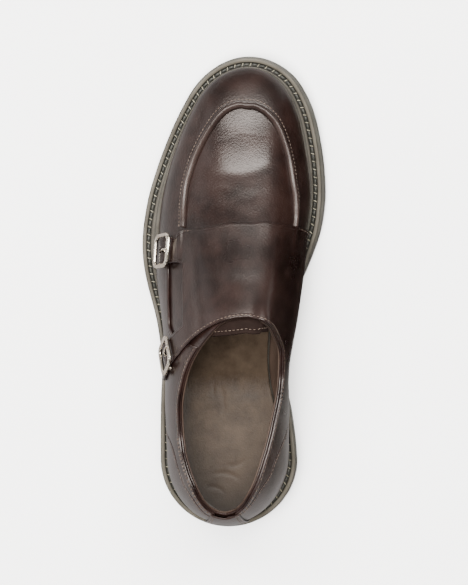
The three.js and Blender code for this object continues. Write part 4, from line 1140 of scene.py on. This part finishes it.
# Buckles. Two alike, of cast and nickelled metal: a rounded frame, a flat roller on the side of the
# instep and a centre bar under the strap, which carries the prong.
WIRE = 1.3
BUCKLE_DEPTH = 19.2
BUCKLE_WIDTH = 22.2
BUCKLE_CORNER = 4.0
ROLLER = (3.6, 2.2)
BAR_RADIUS = 0.8
LUG = (1.2, 0.8)
BAR_HEIGHT = REST + QUARTER_THICK + 0.1 + BAR_RADIUS
FRAME_HEIGHT = REST + STEP + PANEL_THICK + 0.15 + WIRE


def buckle_frame(strap):
    """Origin on the upper under the buckle, and its axes: towards the tip, along the bars, outwards."""
    def spot(row, share):
        u, v, _ = strap_place(strap, row, share)
        return across(u, v, 0.0)
    u, v, _ = strap_place(strap, 3.0, 0.5)
    normal = last_normal(LATERAL, u, 1 + v)
    bars = np.cross(normal, spot(4.0, 0.5) - spot(2.0, 0.5))
    bars /= np.linalg.norm(bars)
    return spot(3.0, 0.5), np.stack([np.cross(bars, normal), bars, normal])


def tube(centres, beside, upward, radii, closed):
    """Sweep of a round section: points and faces."""
    sides = 14
    angle = np.linspace(0, 2 * math.pi, sides, endpoint=False)
    points = (centres[:, None] + beside[:, None] * (np.cos(angle)[None, :, None] * radii[0][:, None, None])
              + upward[:, None] * (np.sin(angle)[None, :, None] * radii[1][:, None, None]))
    faces = []
    count = len(centres)
    for k in range(count if closed else count - 1):
        for j in range(sides):
            low, high = k * sides, ((k + 1) % count) * sides
            faces.append([low + j, low + (j + 1) % sides, high + (j + 1) % sides, high + j])
    if not closed:
        faces += [list(range(sides))[::-1], [(count - 1) * sides + j for j in range(sides)]]
    return points.reshape(-1, 3), faces


def straight_bar(start, end, width, height, rounding=0.25):
    """A round or flat bar between two places along y, with softly rounded ends."""
    shares = np.array([0, 0.01, 0.03, 0.5, 0.97, 0.99, 1])
    swell = np.array([1 - rounding, 1 - rounding * 0.3, 1, 1, 1, 1 - rounding * 0.3, 1 - rounding])
    centres = start + (end - start) * shares[:, None]
    beside = np.tile([1.0, 0, 0], (7, 1))
    upward = np.tile([0, 0, 1.0], (7, 1))
    return tube(centres, beside, upward, (swell * width / 2, swell * height / 2), False)


nickel, shader, start = new_material("nickel plate", Metallic=1.0)
place = start.node("ShaderNodeTexCoord", output=3)
cloud = noise(start, place, 250)
feed(shader, start, Base_Color=cloud.between(0.3, 0.7).mixed((0.60, 0.53, 0.44, 1), (0.80, 0.73, 0.63, 1)),
     Roughness=cloud * 0.12 + 0.18)
for name, strap in (("front", front_strap), ("rear", rear_strap)):
    origin, axes = buckle_frame(strap)
    half_depth = BUCKLE_DEPTH / 2 - WIRE
    half_width = BUCKLE_WIDTH / 2 - WIRE
    path, outward = [], []
    for corner, (sign_x, sign_y) in enumerate(((1, 1), (-1, 1), (-1, -1), (1, -1))):
        for angle in np.linspace(0, QUARTER_TURN, 9) + corner * QUARTER_TURN:
            towards = np.array([math.cos(angle), math.sin(angle), 0])
            middle = np.array([sign_x * (half_depth - BUCKLE_CORNER),
                               sign_y * (half_width - BUCKLE_CORNER), FRAME_HEIGHT])
            path.append(middle + towards * BUCKLE_CORNER)
            outward.append(towards)
    path, outward = np.array(path), np.array(outward)
    wire = np.full(len(path), WIRE)
    upward = np.tile([0, 0, 1.0], (len(path), 1))
    parts = [tube(path, outward, upward, (wire, wire), True)]
    roller_half = half_width - BUCKLE_CORNER * 0.45
    parts.append(straight_bar(np.array([-half_depth, -roller_half, FRAME_HEIGHT]),
                              np.array([-half_depth, roller_half, FRAME_HEIGHT]), *ROLLER))
    parts.append(straight_bar(np.array([0, -half_width, BAR_HEIGHT]), np.array([0, half_width, BAR_HEIGHT]),
                              2 * BAR_RADIUS, 2 * BAR_RADIUS))
    for end in (-1, 1):
        rise = np.linspace(BAR_HEIGHT - BAR_RADIUS, FRAME_HEIGHT, 6)
        steps = len(rise)
        centres = np.stack([np.zeros(steps), np.full(steps, end * half_width), rise], -1)
        parts.append(tube(centres, np.tile([1.0, 0, 0], (steps, 1)), np.tile([0, 1.0, 0], (steps, 1)),
                          (np.full(steps, LUG[0]), np.full(steps, LUG[1])), False))
    points, faces = joined(parts)
    buckle = make_piece("buckle_" + name + "_frame", origin + points @ axes, faces,
                        "buckle_" + name + "_metal", ["buckle_" + name])
    buckle.data.materials.append(nickel)
    begin = BAR_HEIGHT + BAR_RADIUS + 0.7
    rest_height = FRAME_HEIGHT + ROLLER[1] / 2 + 0.65
    knots = np.array([
        [1.6, 0, begin - 0.7], [0.6, 0, begin + 0.1], [-1, 0, begin + 0.5],
        [-3.6, 0, rest_height - 0.3], [-half_depth, 0, rest_height],
        [-half_depth - 1.6, 0, rest_height - 0.35]])
    keys = np.linspace(0, 1, len(knots))
    curves = smooth_table(np.column_stack([keys, knots]))
    shares = np.linspace(0, 1, 26)
    centres = np.stack([curve(shares) for curve in curves], -1)
    taper = (0.75 - 0.2 * shares) * np.minimum(1, 0.35 + 8 * np.minimum(shares, 1 - shares))
    run = np.gradient(centres, axis=0)
    run /= np.linalg.norm(run, axis=1, keepdims=True)
    beside = np.tile([0, 1.0, 0], (26, 1))
    points, faces = tube(centres, beside, np.cross(run, beside), (taper, taper), False)
    prong = make_piece("prong_" + name + "_pin", origin + points @ axes, faces,
                       "prong_" + name + "_metal", ["prong_" + name])
    prong.data.materials.append(nickel)

# Welt. A strip of light grey-green rubber all the way round: an outer band, a groove with thick
# stitches through to the outsole, and a raised bead against the upper.
EDGE_FLARE = 2.8
WELT_BAND = 2.4
GROOVE = 2.7
OUTLINE_PLACES = 1240
RIB_PITCH = 2.3
RIB_RELIEF = 0.28
STITCH_PITCH = 5.1

lateral_flare, medial_flare = smooth_table([
    [0.00, 0.40, 0.40],
    [0.10, 0.40, 0.45],
    [0.30, 0.30, 0.30],
    [0.42, 0.30, 0.30],
    [0.52, 0.30, 0.45],
    [0.60, 0.30, 0.75],
    [0.68, 0.30, 1.00],
    [0.78, 0.35, 1.00],
    [0.88, 0.45, 1.00],
    [0.96, 0.60, 0.90],
    [1.00, 0.75, 0.75],
])


def flare_at(side, u):
    return EDGE_FLARE * by_side(side, lateral_flare, medial_flare, station(u)[0] / SHOE_LENGTH)


outline_us = np.linspace(0, 1, OUTLINE_PLACES // 2 + 1)
outline_side = np.concatenate([np.full(len(outline_us), LATERAL), np.full(len(outline_us) - 2, MEDIAL)])
outline_u = np.concatenate([outline_us, outline_us[1:-1][::-1]])
outline_edge = sole_edge(outline_side, outline_u)
outline_normal = edge_normal(outline_side, outline_u)
outline_flare = flare_at(outline_side, outline_u)
outline_reach = reach_at(outline_side, outline_u) - 0.1
outline_run = np.concatenate([[0], np.cumsum(np.linalg.norm(np.diff(outline_edge, axis=0), axis=1))])


def rings_piece(name, rings, slot, replaced=(), capped=False, marks=None):
    """A closed strip round the shoe from (inset, height over the sole's underside) at each ring."""
    points = []
    for inset, rise in rings:
        plan = outline_edge - outline_normal * np.broadcast_to(inset, outline_u.shape)[:, None]
        points.append(np.concatenate([plan, (sole_bottom(plan[:, 1]) + rise)[:, None]], 1))
    count = len(outline_u)
    faces = []
    total = len(rings)
    for k in range(total - 1 if capped else total):
        low = k * count + np.arange(count)
        high = ((k + 1) % total) * count + np.arange(count)
        faces += np.stack([low, np.roll(low, -1), np.roll(high, -1), high], -1).tolist()
    if capped:
        for first, flip in ((0, True), ((total - 1) * count, False)):
            half = count // 2
            for k in range(half):
                corners = [k, k + 1, (count - k - 1) % count, (count - k) % count]
                corners = [first + c for i, c in enumerate(corners) if c not in corners[:i]]
                faces.append(corners[::-1] if flip else corners)
    return make_piece(name, np.concatenate(points), faces, slot, replaced, marks)


groove_start = outline_flare + WELT_BAND
groove_end = groove_start + GROOVE
bead = outline_reach - groove_end
# how lit each ring of the welt is painted: 1 keeps the rubber's own colour, 0 is dark, as painted shade on
# the side, in the groove and in the hollows of the bead
WELT_LIT = [0.3, 0.3, 0.4, 0.6, 1, 1, 0.8, 0, 0, 0, 0, 0.3, 0.7, 0.8, 0.1, 0.8, 0.8, 0.1, 0]
rib = RIB_RELIEF * (0.5 + 0.5 * np.sign(np.sin(outline_run * 2 * math.pi / RIB_PITCH)))
welt = rings_piece("stitched_welt", [
    (outline_flare + rib, WELT_BASE),
    (outline_flare + rib, WELT_BASE + 1.9),
    (outline_flare, WELT_BASE + 2.1),
    (outline_flare, WELT_TOP - 0.7),
    (outline_flare + 0.15, WELT_TOP - 0.25),
    (outline_flare + 0.6, WELT_TOP),
    (groove_start - 0.3, WELT_TOP),
    (groove_start, WELT_TOP - 0.25),
    (groove_start + 0.15, WELT_TOP - 1.0),
    (groove_end - 0.15, WELT_TOP - 1.0),
    (groove_end, WELT_TOP - 0.2),
    (groove_end + bead * 0.02, WELT_TOP + 0.7),
    (groove_end + bead * 0.14, WELT_TOP + 1.15),
    (groove_end + bead * 0.34, WELT_TOP + 1.35),
    (groove_end + bead * 0.44, WELT_TOP + 1.05),
    (groove_end + bead * 0.54, WELT_TOP + 1.4),
    (groove_end + bead * 0.78, WELT_TOP + 1.5),
    (groove_end + bead, WELT_TOP + 1.0),
    (groove_end + bead, WELT_BASE),
], "welt_rubber", ["welt"], marks={"ring_lit": np.repeat(WELT_LIT, len(outline_u))})


def rubber(name, dark, light, rough=0.55, grain=0.15):
    material, shader, start = new_material(name, Roughness=rough)
    place = start.node("ShaderNodeTexCoord", output=3)
    cloud = noise(start, place, 60)
    fine = noise(start, place, 1400, 2)
    colour = (cloud * 0.7 + fine * 0.3).between(0.3, 0.7).mixed(dark, light)
    feed(shader, start, Base_Color=colour, Normal=relief(start, grain, 0.0002, fine))
    return material


material = rubber("welt rubber", (0.032, 0.0275, 0.020, 1), (0.060, 0.053, 0.041, 1))
start = Shade(material.node_tree)
shader = material.node_tree.nodes["Principled BSDF"]
# painted shade: the rubber's colour is darkened ring by ring, following the list above
lightness = start.node("ShaderNodeAttribute", {"attribute_name": "ring_lit"}, output=2)
unshaded = Shade(material.node_tree, shader.inputs["Base Color"].links[0].from_socket)
feed(shader, start, Base_Color=lightness.mixed((0.008, 0.0075, 0.006, 1), unshaded))
welt.data.materials.append(material)
groove_middle = (groove_start + groove_end) / 2
plan = outline_edge - outline_normal * groove_middle[:, None]
level = sole_bottom(plan[:, 1]) + WELT_TOP - 0.75
line = np.concatenate([plan, level[:, None]], 1)
line = np.concatenate([line, line[:1]])
upwards = np.tile([0, 0, 1.0], (len(line), 1))
stitch_run = thread_run(line, upwards, STITCH_PITCH, 4.1, 1.7, 1.1)
stitches = make_piece("welt_stitches", *stitch_run, "welt_rubber")
stitches.data.materials.append(clouded(
    "dark welt thread", 500, (0.012, 0.012, 0.010, 1), (0.03, 0.029, 0.024, 1), Roughness=0.5))
crossing_run = thread_run(line + np.array([0, 0, 0.25]), upwards, STITCH_PITCH, 2.6, 0.6, 0.7,
                          slant=1.15, offset=0.5)
crossings = make_piece("welt_cross_stitches", *crossing_run, "welt_rubber")
crossings.data.materials.append(clouded(
    "light welt thread", 500, (0.12, 0.11, 0.08, 1), (0.22, 0.20, 0.15, 1), Roughness=0.6))

# Midsole. A layer of grey rubber glued between the welt and the outsole and trimmed with them; its
# side is hollowed a little.
MIDSOLE_BASE = 6.8
MIDSOLE_TOP = 11.5
MIDSOLE_THICK = MIDSOLE_TOP - MIDSOLE_BASE
midsole = rings_piece("rubber_midsole", [
    (outline_flare * 0.5 + 0.5, MIDSOLE_BASE),
    (outline_flare * 0.3, MIDSOLE_BASE + 0.5),
    (outline_flare * 0.25, MIDSOLE_BASE + MIDSOLE_THICK * 0.35),
    (outline_flare * 0.25, MIDSOLE_BASE + MIDSOLE_THICK * 0.7),
    (outline_flare * 0.3 + 0.1, MIDSOLE_TOP - 0.5),
    (outline_flare * 0.3 + 0.5, MIDSOLE_TOP),
], "midsole_rubber", ["midsole"], capped=True)
midsole.data.materials.append(rubber("midsole rubber", (0.026, 0.024, 0.020, 1), (0.046, 0.043, 0.035, 1)))

# Outsole and heel. Dark grey moulded rubber glued under the midsole, with a groove round its side.
# The heel block is the solid itself, with bars underneath and a hollowed breast.
OUTSOLE_THICK = 6.5
sole_rubber = rubber("sole rubber", (0.045, 0.043, 0.038, 1), (0.075, 0.072, 0.064, 1),
                     rough=0.6, grain=0.25)
outsole = rings_piece("rubber_outsole", [
    (2.2, 0.0),
    (1.0, 0.35),
    (0.3, 1.1),
    (0.0, 2.2),
    (0.0, 3.2),
    (0.45, 3.5),
    (0.45, 4.1),
    (0.0, 4.5),
    (0.0, 5.6),
    (0.35, OUTSOLE_THICK),
], "sole_rubber", ["outsole"], capped=True)
outsole.data.materials.append(sole_rubber)
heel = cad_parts["heel"]
heel.data.materials.clear()
heel.data.materials.append(sole_rubber)

# Floor and light. The shoe stands on white paper, under a broad soft light from above and weaker
# ones round it. From here on lengths are in metres.


def setting(name, points, faces):
    """An object beside or under the shoe that isn't part of it."""
    mesh = bpy.data.meshes.new(name)
    mesh.from_pydata(points, [], faces)
    piece = bpy.data.objects.new(name, mesh)
    bpy.context.scene.collection.objects.link(piece)
    return piece


floor = setting("floor", [(-4, -4, 0), (4, -4, 0), (4, 4, 0), (-4, 4, 0)], [(0, 1, 2, 3)])
floor.data.materials.append(clouded(
    "white paper", 3, (0.90, 0.90, 0.895, 1), (0.93, 0.93, 0.925, 1), spread=(0.2, 0.8), Roughness=0.9))


def light_at(name, place, aim, size, power, colour=(1, 1, 1)):
    data = bpy.data.lights.new(name, "AREA")
    data.shape = "RECTANGLE"
    data.size, data.size_y = size
    data.energy = power
    data.color = colour
    light = bpy.data.objects.new(name, data)
    light.location = place
    light.rotation_euler = (Vector(aim) - Vector(place)).to_track_quat("-Z", "Y").to_euler()
    bpy.context.scene.collection.objects.link(light)
    return light


world = bpy.data.worlds.new("soft room")
bpy.context.scene.world = world
world.use_nodes = True
sky = Shade(world.node_tree)
direction = sky.node("ShaderNodeTexCoord", output=0)
upward = sky.node("ShaderNodeSeparateXYZ", {}, {"Vector": direction}, output=2)
overhead = upward.between(0.4, 0.8)
room = overhead.mixed((0.85, 0.84, 0.84, 1), (0.32, 0.315, 0.31, 1))
background = world.node_tree.nodes["Background"]
world.node_tree.links.new(room.socket, background.inputs["Color"])
background.inputs["Strength"].default_value = 0.42
light_at("key light", (0.0, 0.76, 1.5), (0, 0.05, 0), (2.2, 0.5), 78, (1.0, 0.975, 0.94))
overhead_light = light_at("overhead light", (-0.2, -0.25, 2.6), (0, -0.05, 0), (1.2, 1.2), 290,
                          (1.0, 0.992, 0.985))
overhead_light.visible_glossy = False
light_at("toe strip", (0.1, 1.5, 1.35), (0, 0, 0), (1.1, 0.7), 2.3, (1.0, 0.97, 0.94))
light_at("left light", (-1.7, 0.1, 0.75), (0, 0, 0.05), (2.2, 0.8), 8.5, (0.99, 0.985, 1.0))
light_at("heel light", (-0.2, -1.9, 0.9), (0, 0, 0.05), (2.0, 0.7), 6)

# Dark card. It stands on the inner side and is seen only in the polish, where it gives the dark
# reflection along the quarter and the panel.


def only_in_polish(piece):
    piece.visible_camera = False
    piece.visible_diffuse = False
    piece.visible_shadow = False


card_turns = np.linspace(-1, 1, 17)
card_x = 0.074 + 0.02 * np.abs(card_turns) ** 3
card_y = card_turns * 0.165 - 0.008
card_points = [(x - 0.022, y, 0.002) for x, y in zip(card_x, card_y)]
card_points += [(x, y, z) for z in (0.012, 0.06) for x, y in zip(card_x, card_y)]
card_points += [(x + 0.02, y, 0.085) for x, y in zip(card_x, card_y)]
card = setting("dark_card", card_points, grid_faces(4, len(card_turns)).tolist())
material, shader, start = new_material("dark card", Roughness=1.0, Specular_IOR_Level=0.0)
place = start.node("ShaderNodeTexCoord", output=3)
along = start.node("ShaderNodeSeparateXYZ", {}, {"Vector": place}, output=1)
card_colour = noise(start, place, 8).mixed((0.008, 0.006, 0.005, 1), (0.014, 0.010, 0.009, 1))
feed(shader, start, Base_Color=along.between(-0.085, -0.045).mixed((0.12, 0.115, 0.11, 1), card_colour))
card.data.materials.append(material)
only_in_polish(card)

# Grey sheet. It lies on the floor and is seen only in the polish too, so that the shoe's sides
# don't mirror the whole white floor.
sheet_side = np.linspace(-0.8, 0.8, 5)
grey_sheet = setting("grey_sheet", [(x, y, 0.0012) for x in sheet_side for y in sheet_side],
                     grid_faces(5, 5).tolist())
material, shader, start = new_material("grey sheet", Roughness=1.0, Specular_IOR_Level=0.0)
place = start.node("ShaderNodeTexCoord", output=3)
feed(shader, start, Base_Color=noise(start, place, 6).mixed((0.11, 0.105, 0.105, 1), (0.18, 0.172, 0.17, 1)))
grey_sheet.data.materials.append(material)
only_in_polish(grey_sheet)

# Camera. It looks straight down from beside the shoe, at the photograph's angle to it, and frames
# the shoe a little larger than the photograph does.
SENSOR_HEIGHT = 24
FOCAL_PIXELS = 1874
FRAME_PIXELS = 585
LARGER = 1.31
CAMERA_ACROSS = 64.5
CAMERA_UP = 1.6
camera_data = bpy.data.cameras.new("camera")
camera_data.sensor_fit = "VERTICAL"
camera_data.sensor_height = SENSOR_HEIGHT
camera_data.lens = SENSOR_HEIGHT * FOCAL_PIXELS * LARGER / FRAME_PIXELS
camera = bpy.data.objects.new("camera", camera_data)
camera_place = Vector(((CAMERA_ACROSS - OUTLINE_MIDDLE[0]) * 0.001, 0, CAMERA_UP))
backward = (camera_place - Vector((0.001, -0.001, 0.03))).normalized()
rightward = Vector((0, 1, 0)).cross(backward).normalized()
camera.matrix_world = Matrix((rightward, backward.cross(rightward), backward)).transposed().to_4x4()
camera.location = camera_place
bpy.context.scene.collection.objects.link(camera)
bpy.context.scene.camera = camera
